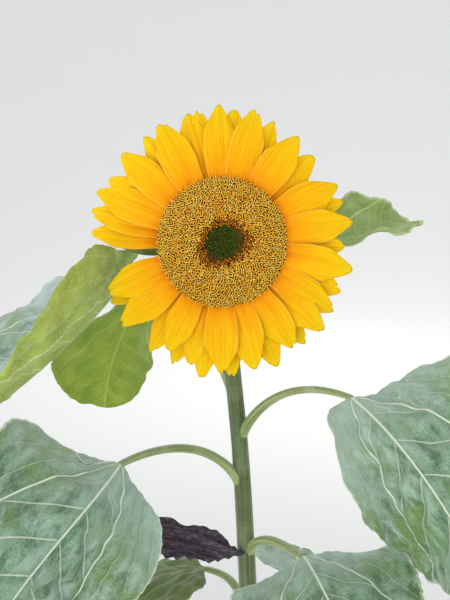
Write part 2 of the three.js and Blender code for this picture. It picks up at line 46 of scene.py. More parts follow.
# Stem, as the solids have it: the points of its centre line, and its radii.
STEM_LINE = [
    [0, 0, 0], [-2, 4, 230], [-8, 3, 460], [-17, 0, 688], [-25.5, 0, 844], [-33, 6, 925], [-39, 21, 990],
]
STEM_RADIUS_BASE = 12.5
STEM_RADIUS_TOP = 7.6
STEM_TAPER_LENGTH = 930
STEM_TAPER_POWER = 0.9
STEM_FLARE = 7
STEM_FLARE_HEIGHT = 22
NECK_RADIUS = 10.5
NECK_SWELL_LENGTH = 70
NECK_STRAIGHT = 22
NECK_SAG = 9

# Ribs of the stem: number, depth, the share of it below the plain radius, radians of twist to a millimetre.
# Its skin also wanders in and out a little.
STEM_RIBS = 15
STEM_RIB_DEPTH = 0.3
STEM_RIB_LEVEL = 0.6
STEM_RIB_TWIST = 0.0011
STEM_WANDER = 0.25
STEM_WANDER_LENGTH = 90

# Hairs: thickness and lean, then how many of what length, and from which share of a limb to which.
HAIR_RADIUS = 0.075
HAIR_LEAN = 0.35
STEM_HAIRS = dict(count=9000, length=1.7, low=0.02, high=0.99)
STALK_HAIRS = dict(count=900, length=1.5, low=0.08, high=0.98)
HEAD_HAIRS = 5000
HEAD_HAIR_RADIUS = 0.07

# Points along and round, or across, each kind of mesh. A blade's points across are those of one half.
STEM_GRID = (420, 90)
STALK_GRID = (70, 36)
UPPER_GRID = (110, 34)
LOWER_GRID = (84, 24)
PETAL_GRID = (26, 25)
BRACT_GRID = (20, 13)

# Flower head, as the solids have it.
HEAD_CENTRE = np.array([-42.6, -48, 1050])
HEAD_YAW = -3
HEAD_TILT = 9
DISC_RADIUS = 56
DISC_NECK_RADIUS = 50
DISC_RIM_HEIGHT = 1.2
DISC_DOME = 5.5
DISC_DIMPLE = 3
DISC_DIMPLE_RADIUS = 19
WHORL_PITCH = 3.6
RECEPTACLE_DEPTH = 28
RECEPTACLE_RADIUS = 57
RECEPTACLE_RIM = 3
RECEPTACLE_RIB_DEPTH = 0.012
RECEPTACLE_RIB_WAVES = 17

# Florets: their roots lie below the disc's face, green buds fill its centre, and young ones ring the buds.
FLORET_COUNT = 2500
FLORET_ANGLE = 137.508
FLORET_DEPTH = 1.6
FLORET_INSET = 0.6
BUD_GROUND_RADIUS = 15.5
BUD_RADIUS = 16.5
YOUNG_RADIUS = 22.5
OLIVE_RADIUS = 46
# The centre's wavy edge: height, waves to a turn and start of each wave.
CENTRE_WAVES = [(2.6, 1, 0.7 + math.pi / 2), (1.5, 2, 0.6), (0.9, 3, 2.2), (0.6, 8, 0)]

# The disc's materials: name, colour, roughness and gloss.
DISC_TONES = [
    ("disc_base", (0.17, 0.052, 0.006), 0.9, 0.1),
    ("bud_dark", (0.040, 0.058, 0.004), 0.8, 0.1),
    ("bud_green", (0.10, 0.13, 0.010), 0.8, 0.1),
    ("floret_tube_dark", (0.46, 0.14, 0.010), 0.8, 0.1),
    ("floret_tube", (0.85, 0.38, 0.02), 0.8, 0.1),
    ("bud_tip", (0.45, 0.45, 0.10), 0.7, 0.1),
    ("floret_gold", (1.0, 0.56, 0.035), 0.6, 0.2),
    # The pale gold of the next row is a painted highlight, dealt to a share of the arms at random.
    ("floret_painted_highlight", (1.0, 0.72, 0.14), 0.6, 0.2),
    ("floret_amber", (0.92, 0.41, 0.02), 0.6, 0.2),
    ("floret_olive", (0.90, 0.60, 0.05), 0.6, 0.2),
    ("floret_young", (0.70, 0.30, 0.02), 0.6, 0.1),
]
(
    DISC_BASE, BUD_DARK, BUD_GREEN, TUBE_DARK, TUBE, BUD_TIP, GOLD, PAINTED_HIGHLIGHT, AMBER, OLIVE, YOUNG,
) = range(len(DISC_TONES))

# The stages of a floret, which are bud, young and open: height, width at each step of the height, two
# materials, and the share of the florets that have the first.
FLORET_STEPS = np.array([0, 0.55, 0.85, 1.0])
STAGE_HEIGHTS = np.array([1.5, 2.1, 1.9])
STAGE_WIDTHS = np.array([[0.62, 0.72, 0.45, 0.05], [0.5, 0.62, 0.66, 0.30], [0.5, 0.62, 0.66, 0.30]])
STAGE_TONES = np.array([[BUD_DARK, BUD_GREEN], [TUBE, TUBE_DARK], [TUBE_DARK, TUBE]])
STAGE_SHARES = np.array([0.75, 0.6, 0.6])
TIPPED_SHARE = 0.4
TIP_HEIGHTS = np.array([0.8, 1.0, 1.25])
TIP_WIDTHS = [0.3, 0.34, 0.05]

# The arms of a floret: steps outwards, heights and widths there, and where one tone gives way to the next.
ARM_STEPS = np.array([0, 0.35, 0.75, 1.0])
ARM_HEIGHTS = 1.9 * np.array([1.0, 1.42, 1.35, 0.95])
ARM_WIDTHS = [0.38, 0.5, 0.46, 0.18]
# The middle of these tones is a painted highlight.
ARM_TONES = np.array([GOLD, PAINTED_HIGHLIGHT, AMBER])
ARM_SHARES = [0.34, 0.72]
OLIVE_SHARE = 0.8

# Ray petals: the angle of each from the flower's right, anticlockwise, and its length.
PETAL_ROOT_RADIUS = 52
PETAL_SINK = 1.6
PETAL_RISE = 13
PETAL_RECURVE = -24
PETAL_FULL_LENGTH = 64
PETAL_THICKNESS = 0.5
PETAL_RING = [[50.5, -3], [55, -3], [55, -1], [50.5, -1], [50.5, -3]]
WHORLS = [
    {
        "name": "ray_petals_front", "width": 28,
        "petals": [
            [9.5, 63], [27, 61], [55, 62], [76, 68], [92, 69], [118.5, 67], [139, 68], [158, 71], [204, 57],
            [220, 63], [243, 54], [270, 65], [285.5, 63], [304, 61], [329, 64], [348, 64],
        ],
    },
    {
        "name": "ray_petals_middle", "width": 27,
        "petals": [
            [43, 58], [67, 64], [85, 65], [106, 68], [127, 67], [151, 66], [167, 68], [237, 67], [255.5, 61],
            [293.5, 69], [319, 66], [338, 60], [358, 55],
        ],
    },
    {
        "name": "ray_petals_back", "width": 25,
        "petals": [
            [19, 60], [101, 66], [176, 65], [209, 63], [247.5, 68], [261.5, 70], [274, 68], [310, 65],
        ],
    },
]
# How petals differ from one another: the salt of each draw, its least and its most. No notch is below 0.
PETAL_SPREAD = {
    "breadth": (40, 0.94, 1.1), "blunt": (41, 1.6, 2.4), "end": (42, 0.32, 0.42), "notch": (43, -0.04, 0.07),
    "notch_at": (44, -0.3, 0.3), "skew": (45, -0.1, 0.1), "roll": (46, 1, 8), "cup": (47, -0.9, 1.6),
    "wave": (48, 0.6, 2.0), "rise": (49, -4, 3), "recurve": (50, -8, 8),
}
NOTCH_WIDTH = 0.11
PETAL_FOOT_WIDTH = 0.76
PETAL_TIP_LOSS = 0.26
PETAL_GROOVES = 5.5
PETAL_GROOVE_DEPTH = 0.2
PETAL_FOLD_DEPTH = 0.75
PETAL_FOLD_PLACE = 0.33
PETAL_FOLD_WIDTH = 0.1
PETAL_RIPPLE_LENGTH = 26

# Bracts: two rows of pointed green scales at the edge of the receptacle.
BRACT_ROWS = [
    {"count": 12, "first": 4, "length": 34, "width": 15, "height": -14, "slope": -16},
    {"count": 12, "first": 20, "length": 31, "width": 14, "height": -18.5, "slope": -30},
]
BRACT_INSET = 9
BRACT_RECURVE = 34
BRACT_THICKNESS = 0.9

# Leaf stalks, as the solids have them, then their finer shape.
STALK_FLARE = 2.2
STALK_FLARE_LENGTH = 7
STALK_BOW_ROOT = 0.5
STALK_BOW_TIP = 0.38
STALK_RIBS = 9
STALK_RIB_DEPTH = 0.16
STALK_GROOVE = 0.7
STALK_GROOVE_WIDTH = 0.32

# Leaf blades: the outline and bending that the solids share.
OUTLINE_LOBE = 0.03
OUTLINE_LOBE_ANGLE = 0.3
OUTLINE_OVATE = 0.28
OUTLINE_FULLNESS = 0.92
OUTLINE_WIDEST = 1.035
OUTLINE_POINT_ANGLE = 0.5
OUTLINE_SINUS_ANGLE = 0.2
OUTLINE_PINCH_LENGTH = 0.5
BLADE_COLLAR = 2.6
BLADE_FOOT_POWER = 12
COLLAR_SLANT = 9.5
MIDRIB_STEPS = 60
RUFFLE_WAVES = 2.5
RUFFLE_SIDE_SHIFT = 2.1
BLADE_THICKNESS = 0.5

# Teeth of the margin: millimetres apart, how unevenly, and the share of each that rises.
TOOTH_SPACING = 11
TOOTH_UNEVEN = 0.35
TOOTH_UNEVEN_LENGTH = 31
TOOTH_RISE = 0.72
TOOTH_LEVEL = 0.6

# The tissue between veins bulges. The blade also has waves: height, length, salt, calm width at the midrib.
QUILT_HEIGHT = 2.4
QUILT_WIDTH = 7
BLADE_WAVES = [(3.0, 62, 0, 25), (1.9, 24, 50, 18)]
FLUTTER_LENGTH = 38
RIDGE_SPACING = 7.5
CRUMPLE_LENGTH = 13

# The strong side vein reaches this share of the length at this share of the half width, along this power.
SIDE_VEIN_REACH = 0.66
SIDE_VEIN_SPREAD = 0.74
SIDE_VEIN_POWER = 1.389
# Inner branches leave the midrib: number to the length, share of it at the first, slant and bend.
INNER_VEINS = 7
INNER_FIRST = 0.13
INNER_SLANT = 0.62
INNER_BEND = 0.18
# Outer branches fan from behind the foot: number to a radian, share of the length behind, start and bend.
OUTER_VEINS = 6
OUTER_BEHIND = 0.16
OUTER_FIRST = 0.42
OUTER_BEND = 0.09
# Veins in relief: half widths at the foot and the tip, or the end and the start, then heights, and the share
# of them by which the upper face sinks.
MIDRIB_WIDTHS = (2.2, 0.8)
SIDE_VEIN_WIDTHS = (1.0, 1.9)
BRANCH_WIDTH = 1.5
RIB_HEIGHTS = (1.9, 0.35)
RIB_ABOVE = 0.12

# What a leaf has unless its row says otherwise.
LEAF_DEFAULTS = dict(
    sinus_l=0.05, sinus_r=0.05, point=0.4, pinch=1, tooth=1.4, flutter=1.3, crumple=0,
    stalk_radius=5, stalk_tip=3, stalk_drop=0.9, tone="grown",
)

# The leaves of the upper half of the stem, as the solids have them.
#   height: where the stalk leaves the stem; leave: its slope there
#   bearing, reach, rise: from there to the blade's foot
#   heading, turn: the midrib's compass angle at its foot, from +X, and its change by the tip
#   pitch, droop: the midrib's slope at its foot and at its tip
#   roll, twist: how far the blade leans at its foot, and the change by the tip
#   fold_l, fold_r: slope of the left and right half at the midrib
#   curl_l, curl_r: the change of that slope by the margin
#   sinus_l, sinus_r: how far the margin runs forward beside the foot, or back where it is less than 0
#   point: how much the tip is drawn out; pinch: width beside the foot as a share of the usual
#   stalk_radius, stalk_tip: the stalk's radius at the stem and at the blade
#   stalk_drop: how far the stalk's end lies below the blade's middle
#   tooth: depth of the margin's teeth; flutter, crumple: height of its waves and of the tissue's creases
#   tone: which leaf materials it has
UPPER_LEAVES = [
    dict(
        name="left", height=806, bearing=208.5, reach=124.5, rise=47.5, leave=64,
        heading=260, turn=-80, pitch=-6, droop=-73, roll=-23.5, twist=-100, length=242, width=207,
        fold_l=-33, fold_r=-24, curl_l=10, curl_r=54, sinus_l=0.036, sinus_r=0.076,
    ),
    dict(
        name="right", height=855, bearing=-36, reach=118, rise=62.5, leave=64,
        heading=-71.5, turn=23.5, pitch=-4, droop=-67, roll=33, twist=37, length=268, width=210,
        fold_l=-28, fold_r=-46, curl_l=50, curl_r=-15, sinus_l=0.125, sinus_r=-0.12, stalk_tip=2.6,
    ),
    dict(
        name="low_right", height=735, bearing=-52.7, reach=81, rise=33, leave=66,
        heading=-89, turn=31, pitch=23, droop=-59.5, roll=15, twist=2, length=208, width=162,
        fold_l=-22, fold_r=-29, curl_l=30, curl_r=51, sinus_l=0.12, sinus_r=0.07,
    ),
    dict(
        name="upper_left", height=895, bearing=157.5, reach=125, rise=96, leave=66,
        heading=237.5, turn=-25.5, pitch=-33, droop=-23.5, roll=-5.5, twist=-42.5, length=264, width=231,
        fold_l=55, fold_r=30, curl_l=38, curl_r=-95, sinus_l=-0.1, sinus_r=0.04,
        stalk_tip=2.4, stalk_drop=2, tone="young",
    ),
    dict(
        name="upper_left_back", height=945, bearing=134, reach=126, rise=30, leave=35,
        heading=156.5, turn=-32, pitch=-50, droop=-78, roll=21, twist=17, length=149, width=167,
        fold_l=-14, fold_r=7, curl_l=-19, curl_r=71, sinus_l=0.04, sinus_r=0,
        point=0, tooth=0.7, tone="bright",
    ),
    dict(
        name="upper_right", height=950, bearing=2, reach=91.5, rise=91, leave=66,
        heading=34, turn=16.5, pitch=10.5, droop=-5.5, roll=-1, twist=-16, length=134, width=84,
        fold_l=51, fold_r=12, curl_l=49, curl_r=-33, tone="fresh",
    ),
    dict(
        name="low_left_back", height=660, bearing=127, reach=75, rise=31, leave=65,
        heading=189, turn=4, pitch=2, droop=-58, roll=9, twist=-6, length=200, width=170,
        fold_l=8, fold_r=2, curl_l=-28, curl_r=-30, tone="deep",
    ),
    dict(
        name="withered", height=741, bearing=235, reach=17, rise=4, leave=20,
        heading=184, turn=-6, pitch=20, droop=8, roll=-43, twist=5, length=120, width=42,
        fold_l=-28, fold_r=14, curl_l=37, curl_r=-60, sinus_l=0, sinus_r=0, pinch=0.25,
        stalk_radius=3, stalk_tip=2.4, tooth=3, flutter=4, crumple=3.2, tone="withered",
    ),
]

# Lower leaves: one rule sets them down the stem, each turned on from the last by the golden angle.
LOWER_COUNT = 9
LOWER_TOP = 622
LOWER_STEP = 56
LOWER_FIRST_BEARING = 62
LOWER_SIZE_POWER = 1.6
GOLDEN_ANGLE = 137.5

# The colours of the leaves. Above: dark and light tissue, veins, yellowing patches and a painted sheen, which
# also colours small pale specks, then how strongly the fine net of veins shows. Below: dark and light tissue,
# and veins.
LEAF_TONES = {
    "grown": (
        [(0.08, 0.19, 0.09), (0.32, 0.51, 0.36), (0.86, 0.94, 0.74), (0.14, 0.30, 0.025), (0.62, 0.80, 0.74)],
        0.14,
        [(0.24, 0.36, 0.07), (0.38, 0.52, 0.14), (0.58, 0.68, 0.34)],
    ),
    "deep": (
        [(0.07, 0.13, 0.02), (0.14, 0.21, 0.03), (0.30, 0.38, 0.14), (0.17, 0.22, 0.03), (0.17, 0.25, 0.06)],
        0.14,
        [(0.16, 0.24, 0.05), (0.23, 0.32, 0.08), (0.36, 0.44, 0.18)],
    ),
    # The upper face of the next tone is pale silver-blue, a painted reflection of the sky seen at a grazing
    # angle.
    "young": (
        [(0.20, 0.34, 0.24), (0.55, 0.74, 0.66), (0.80, 0.88, 0.76), (0.32, 0.46, 0.20), (0.80, 0.92, 0.95)],
        0.1,
        [(0.36, 0.50, 0.03), (0.58, 0.76, 0.12), (0.85, 0.90, 0.55)],
    ),
    "fresh": (
        [(0.24, 0.37, 0.07), (0.40, 0.57, 0.15), (0.58, 0.70, 0.32), (0.32, 0.45, 0.06), (0.46, 0.62, 0.24)],
        0.1,
        [(0.24, 0.35, 0.05), (0.36, 0.48, 0.12), (0.50, 0.58, 0.28)],
    ),
    # The next tone is the leaf's own yellow-green, made brighter on both faces as painted light shining
    # through the leaf from behind.
    "bright": (
        [(0.29, 0.43, 0.02), (0.44, 0.62, 0.03), (0.44, 0.62, 0.05), (0.38, 0.54, 0.02), (0.44, 0.62, 0.05)],
        0.08,
        [(0.28, 0.42, 0.03), (0.42, 0.57, 0.05), (0.50, 0.62, 0.14)],
    ),
}

# The camera of the photograph, in metres, and the lens that gives its field of view.
CAMERA_PLACE = (-0.040, -0.820, 1.145)
CAMERA_PITCH = -10.7
CAMERA_LENS = 54
SENSOR = 36

# The softboxes: place and size in metres, watts and colour. The floor, in millimetres, starts under the stem
# and curves up all round.
SOFTBOXES = {
    "key": ((-1.6, -2.2, 3.0), 1.2, 390, (1.0, 0.98, 0.94)),
    "fill": ((2.4, -1.8, 1.6), 2.0, 40, (0.95, 0.97, 1.0)),
    "back": ((0.6, 2.6, 2.8), 1.6, 60, (1.0, 0.98, 0.93)),
}
LIT_PLACE = (-0.04, 0, 0.9)
FLOOR_START = 10
FLOOR_RADIUS = 5000
COVE_RADIUS = 6000


# Numbers
def mix(a, b, t):
    return a + (b - a) * t


def smooth(t):
    t = np.clip(t, 0, 1)
    return t * t * (3 - 2 * t)


def bell(t):
    """1 where t is 0, falling away to 0 on either side."""
    return np.exp(-(t**2))


def chance(i, salt):
    """A repeatable number from 0 to 1 for a leaf, petal or bract, the same as the solids use."""
    x = math.sin(i * 12.9898 + salt * 78.233) * 43758.5453
    return x - math.floor(x)


def between(i, salt, low, high):
    return mix(low, high, chance(i, salt))


def unit(v):
    return v / np.linalg.norm(v, axis=-1, keepdims=True)


def polar(radius, angle, height=0):
    """Points at a distance round the third axis and a height along it."""
    return np.stack(np.broadcast_arrays(radius * np.cos(angle), radius * np.sin(angle), height), axis=-1)


def compass(angle):
    return polar(1, np.radians(angle))


def full_turn(steps):
    return np.linspace(0, 2 * np.pi, steps, endpoint=False)


def read_off(where, marks, rows):
    """Rows of points or directions, read off between the marks that they belong to."""
    return np.stack([np.interp(where, marks, column) for column in rows.T], axis=-1)


def ripple(points, wavelength, seed):
    """A smooth random height, mostly from -1 to 1, for each point."""
    rng = np.random.default_rng(SEED + seed)
    turns = unit(rng.normal(size=(8, points.shape[-1])))
    turns = turns * 2 * np.pi / wavelength * rng.uniform(0.6, 1.4, (8, 1))
    return np.sin(points @ turns.T + rng.uniform(0, 2 * np.pi, 8)).mean(axis=-1) * 1.7


# Meshes
def turned(profile, around, ribs=1):
    """A grid of points: a profile of [radius, height] turned about the third axis."""
    profile = np.array(profile, float)
    return polar(profile[:, :1] * ribs, around, profile[:, 1:])


def grid_faces(rows, columns, wrap=False, flip=False):
    """The quads of a grid of points, whose front is on the side of row direction x column direction."""
    i, j = np.meshgrid(np.arange(rows - 1), np.arange(columns if wrap else columns - 1), indexing="ij")
    here = (i * columns + j).ravel()
    beside = (i * columns + (j + 1) % columns).ravel()
    quads = np.stack([here, here + columns, beside + columns, beside], axis=1)
    return quads[:, ::-1] if flip else quads


def rim_faces(rows, columns):
    """The quads that join a top grid's edge to the edge of the bottom grid that follows it."""
    right = np.arange(1, rows) * columns + columns - 1
    far = (rows - 1) * columns + np.arange(columns - 2, -1, -1)
    left = np.arange(rows - 2, 0, -1) * columns
    ring = np.concatenate([np.arange(columns), right, far, left])
    after = np.roll(ring, -1)
    below = rows * columns
    return np.stack([ring, after, after + below, ring + below], axis=1)


def tube_ends(rings, sides):
    """Triangles that close a tube's two ends."""
    j = np.arange(1, sides - 1)
    last = (rings - 1) * sides
    near = np.stack([0 * j, j, j + 1], axis=1)
    far = np.stack([last + 0 * j, last + j + 1, last + j], axis=1)
    return np.concatenate([near, far])


def add_object(name, data):
    made = bpy.data.objects.new(name, data)
    scene.collection.objects.link(made)
    return made


class Piece:
    """The points, faces, materials and named point values of one mesh, gathered part by part."""

    def __init__(self):
        self.points = []
        self.faces = []
        self.kinds = []
        self.values = {}
        self.count = 0

    def add(self, points, blocks, kind, **values):
        """Adds points in millimetres, blocks of faces that index them, the number of their material, or one
        for each face, and values for the points."""
        points = np.asarray(points, float).reshape(-1, 3)
        self.points.append(points)
        for block in blocks:
            self.faces += (block + self.count).tolist()
        self.kinds += np.broadcast_to(kind, sum(len(block) for block in blocks)).tolist()
        for name, value in values.items():
            self.values.setdefault(name, []).append((self.count, value.reshape(len(points), -1)))
        self.count += len(points)

    def slab(self, top, bottom, kinds, **values):
        """Adds a closed blade from two grids of points, with materials for its top, bottom and rim."""
        rows, columns = top.shape[:2]
        under = grid_faces(rows, columns, flip=True) + rows * columns
        blocks = [grid_faces(rows, columns), under, rim_faces(rows, columns)]
        twice = {name: np.concatenate([value, value]) for name, value in values.items()}
        self.add(np.concatenate([top, bottom]), blocks, np.repeat(kinds, [len(b) for b in blocks]), **twice)

    def make(self, name, materials):
        """Makes the object."""
        mesh = bpy.data.meshes.new(name)
        points = np.concatenate(self.points) * MM
        mesh.from_pydata(points.tolist(), [], self.faces)
        for material in materials:
            mesh.materials.append(material)
        mesh.polygons.foreach_set("material_index", self.kinds)
        mesh.polygons.foreach_set("use_smooth", [True] * len(mesh.polygons))
        for key, runs in self.values.items():
            width = runs[0][1].shape[1]
            whole = np.zeros((len(points), width))
            for start, value in runs:
                whole[start : start + len(value)] = value
            kind, field = ("FLOAT_VECTOR", "vector") if width == 3 else ("FLOAT", "value")
            mesh.attributes.new(key, kind, "POINT").data.foreach_set(field, whole.ravel())
        mesh.update()
        return add_object(name, mesh)

    def finish(self, node, ending, slot, materials):
        """Makes the object. It rides on the plant and stands for its node, whose part it hides. The slot is
        not used.
        """
        piece = self.make(f"{node}_{ending}", materials)
        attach(piece, "root")
        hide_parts(node)


class Tube:
    """A round limb along a line of points, with a way up at each."""

    def __init__(self, line, level):
        self.line = line
        steps = np.linalg.norm(np.diff(line, axis=0), axis=1)
        self.along = np.concatenate([[0], np.cumsum(steps)])
        self.length = self.along[-1]
        ahead = unit(np.gradient(line, axis=0))
        level = np.asarray(level, float)
        self.side = unit(level - ahead * (ahead @ level)[:, None])
        self.up = np.cross(ahead, self.side)

    def place(self, share, angle, radius):
        """Points of the skin, at a distance radius(share, angle) from the line, and the way out at each."""
        where = share * self.length
        line, side, up = (read_off(where, self.along, rows) for rows in (self.line, self.side, self.up))
        out = side * np.cos(angle)[..., None] + up * np.sin(angle)[..., None]
        return line + out * radius(share, angle)[..., None], out


def add_tube(piece, tube, grid, radius, held="grain"):
    """Adds a closed tube, and holds coordinates for a grain that runs along it."""
    rings, sides = grid
    share = np.linspace(0, 1, rings)[:, None] + np.zeros(sides)
    angle = full_turn(sides) + np.zeros((rings, 1))
    points, _ = tube.place(share, angle, radius)
    grain = polar(radius(share, angle), angle, share * tube.length)
    blocks = [grid_faces(rings, sides, wrap=True, flip=True), tube_ends(rings, sides)]
    piece.add(points, blocks, SKIN, **{held: grain})


def add_hairs(piece, roots, out, lengths, radius):
    """Adds a fine three-sided spike for each root, pointing out."""
    helper = np.where(np.abs(out[:, 2:]) < 0.9, [[0.0, 0.0, 1.0]], [[1.0, 0.0, 0.0]])
    a = unit(np.cross(out, helper))
    b = np.cross(out, a)
    foot = [roots + radius * (a * math.cos(angle) + b * math.sin(angle)) for angle in full_turn(3)]
    points = np.stack([roots + out * lengths[:, None], *foot], axis=1)
    first = 4 * np.arange(len(roots))[:, None]
    piece.add(points, [first + np.array(side) for side in ([0, 1, 2], [0, 2, 3], [0, 3, 1])], HAIR)


# Materials
BLACK = (0, 0, 0)
# The numbers of a hairy piece's two materials, and of the two on the sides of a blade.
SKIN, HAIR = 0, 1
FACE, BACK = 0, 1


class Look:
    """A procedural material, with short calls to add and link its nodes."""

    def __init__(self, name, roughness=0.6, **inputs):
        self.material = bpy.data.materials.new(name)
        self.material.use_nodes = True
        self.tree = self.material.node_tree
        self.shader = self.tree.nodes["Principled BSDF"]
        self.fill(self.shader, {"Roughness": roughness, **inputs})

    def put(self, socket, value):
        """Links an output to an input, or gives the input a number or colour."""
        if isinstance(value, bpy.types.NodeSocket):
            self.tree.links.new(value, socket)
        else:
            socket.default_value = (*value, 1) if socket.type == "RGBA" else value

    def fill(self, node, inputs):
        for key, value in inputs.items():
            self.put(node.inputs[key.replace("_", " ")], value)

    def node(self, kind, settings=None, **inputs):
        node = self.tree.nodes.new("ShaderNode" + kind)
        for key, value in (settings or {}).items():
            setattr(node, key, value)
        self.fill(node, inputs)
        return node

    def value(self, name):
        """A number that the mesh holds at its points."""
        return self.node("Attribute", {"attribute_name": name}).outputs["Fac"]

    def where(self, name, scale=(1, 1, 1)):
        """Coordinates that the mesh holds at its points, scaled."""
        held = self.node("Attribute", {"attribute_name": name}).outputs["Vector"]
        return self.node("Mapping", Vector=held, Scale=scale).outputs[0]

    def part(self, vector, axis):
        return self.node("SeparateXYZ", Vector=vector).outputs[axis]

    def noise(self, where, scale, detail=3.0, roughness=0.55):
        made = self.node("TexNoise", Vector=where, Scale=scale, Detail=detail, Roughness=roughness)
        return made.outputs["Fac"]

    def cells(self, where, scale, feature="DISTANCE_TO_EDGE"):
        return self.node("TexVoronoi", {"feature": feature}, Vector=where, Scale=scale).outputs["Distance"]

    def ramp(self, factor, stops):
        """Colours or greys at places from 0 to 1 along a factor."""
        node = self.node("ValToRGB", Fac=factor)
        held = node.color_ramp.elements
        while len(held) < len(stops):
            held.new(1.0)
        for element, (place, colour) in zip(held, stops):
            element.position = place
            element.color = (*colour, 1) if isinstance(colour, tuple) else (colour, colour, colour, 1)
        return node.outputs["Color"]

    def fade(self, factor, low, high, first=0.0, last=1.0):
        """A strength that goes from first to last while the factor goes from low to high."""
        return self.ramp(factor, [(low, first), (high, last)])

    def line(self, distance, width):
        """1 where a distance is 0, falling to 0 at a width to either side."""
        return self.fade(self.maths("ABSOLUTE", self.times(distance, 1 / width)), 0.35, 1.0, 1.0, 0.0)

    def blend(self, factor, a, b):
        """Two colours mixed by a factor."""
        node = self.node("Mix", {"data_type": "RGBA"})
        for socket, value in zip([node.inputs[0], node.inputs[6], node.inputs[7]], [factor, a, b]):
            self.put(socket, value)
        return node.outputs[2]

    def maths(self, operation, a, b=0.0):
        node = self.node("Math", {"operation": operation})
        self.put(node.inputs[0], a)
        self.put(node.inputs[1], b)
        return node.outputs[0]

    def times(self, a, b):
        return self.maths("MULTIPLY", a, b)

    def finish(self, colour, relief=None, depth=0.0):
        """The material, with its colour, and relief of a depth in millimetres."""
        self.put(self.shader.inputs["Base Color"], colour)
        if relief:
            bump = self.node("Bump", Height=relief, Distance=depth * MM)
            self.put(self.shader.inputs["Normal"], bump.outputs[0])
        return self.material


def vein_lines(look, flat, thick):
    """The strength of a leaf's veins, from the distances that its mesh holds: the midrib, which thins to its
    tip, the two strong side veins, and the branches, which are the whole numbers of a held count."""
    taper = look.fade(look.times(look.part(flat, 0), 1 / 250), 0.0, 1.0, 1.0, 0.35)
    midrib = look.line(look.maths("DIVIDE", look.part(flat, 1), taper), 1.8 * thick)
    side = look.times(look.line(look.value("side"), 1.15 * thick), look.value("side_fade"))
    count = look.value("branch")
    off = look.maths("SUBTRACT", count, look.maths("ROUND", count))
    branch = look.times(look.line(off, thick / 32), look.value("branch_fade"))
    return look.maths("MAXIMUM", look.maths("MAXIMUM", midrib, side), look.times(branch, 0.65))


def plain_look(name, colour, roughness, **inputs):
    return Look(name, roughness, **inputs).finish(colour)


def limb_look(name, dark, light, pale):
    """Green skin of a stem or stalk: streaks along it, pale patches and specks, and fine ridges."""
    look = Look(name, 0.5, Sheen_Weight=0.9, Sheen_Roughness=0.35)
    streaks = look.noise(look.where("grain", (1.1, 1.1, 0.03)), 0.6, 4.0)
    patches = look.noise(look.where("grain"), 0.035, 2.0)
    specks = look.noise(look.where("grain", (1, 1, 0.6)), 1.3, 2.0)
    skin = look.blend(look.fade(streaks, 0.36, 0.64), dark, light)
    skin = look.blend(look.fade(patches, 0.5, 0.8, 0.0, 0.45), skin, pale)
    skin = look.blend(look.fade(specks, 0.62, 0.72, 0.0, 0.5), skin, pale)
    return look.finish(skin, look.maths("ADD", streaks, specks), 0.35)


def leaf_top_look(name, dark, light, vein, gold, painted_sheen_and_specks, net_strength):
    """Upper face of a leaf: finely puckered, with pale veins and painted shade in the hollows beside them, a
    pale sheen painted in patches and near its foot, small pale specks, a few yellowing patches and a thin
    pale margin."""
    look = Look(name, 0.4, Sheen_Weight=0.2, Sheen_Roughness=0.4)
    flat = look.where("flat")
    margin = look.value("margin")
    clouds = look.noise(look.where("flat", (1, 1.8, 1)), 0.05, 5.0, 0.62)
    patches = look.noise(look.where("flat", (1, 1.4, 1)), 0.019, 2.0)
    patches = look.maths("ADD", patches, look.times(margin, 0.25))
    painted_sheen_patches = look.noise(look.where("flat", (0.7, 1.6, 1)), 0.06, 5.0, 0.65)
    foot = look.fade(look.times(look.part(flat, 0), 1 / 80), 0.0, 1.0, 0.75, 0.0)
    net = look.cells(flat, 0.3)
    grain = look.noise(flat, 0.9)
    painted_vein_shade = look.fade(look.times(look.value("nearest"), 1 / 12), 0.0, 1.0, 0.38, 0.0)
    spots = look.cells(flat, 0.05, "F1")
    rim = look.times(look.maths("SUBTRACT", 1.0, margin), look.value("width"))
    tissue = look.blend(look.fade(clouds, 0.38, 0.57), dark, light)
    tissue = look.blend(look.fade(patches, 0.56, 0.74, 0.0, 0.85), tissue, gold)
    # Painted sheen: a pale reflection of the sky, laid in broad patches and over the foot of the blade.
    tissue = look.blend(look.fade(painted_sheen_patches, 0.48, 0.72, 0.0, 0.7), tissue, painted_sheen_and_specks)
    tissue = look.blend(foot, tissue, painted_sheen_and_specks)
    tissue = look.blend(look.fade(net, 0.0, 0.12, net_strength, 0.0), tissue, vein)
    tissue = look.blend(look.fade(grain, 0.3, 0.7, 0.78, 1.0), BLACK, tissue)
    # Painted shade: the tissue darkens in the hollows close to the veins.
    tissue = look.blend(painted_vein_shade, tissue, dark)
    # Small pale specks, in the colour of the painted sheen.
    tissue = look.blend(look.fade(spots, 0.03, 0.05, 0.7, 0.0), tissue, painted_sheen_and_specks)
    tissue = look.blend(look.fade(look.times(rim, 0.4), 0.5, 1.0, 0.9, 0.0), tissue, vein)
    tissue = look.blend(look.times(vein_lines(look, flat, 1.0), 0.95), tissue, vein)
    return look.finish(tissue, look.maths("ADD", look.fade(net, 0.0, 0.35), look.times(grain, 0.5)), 0.45)


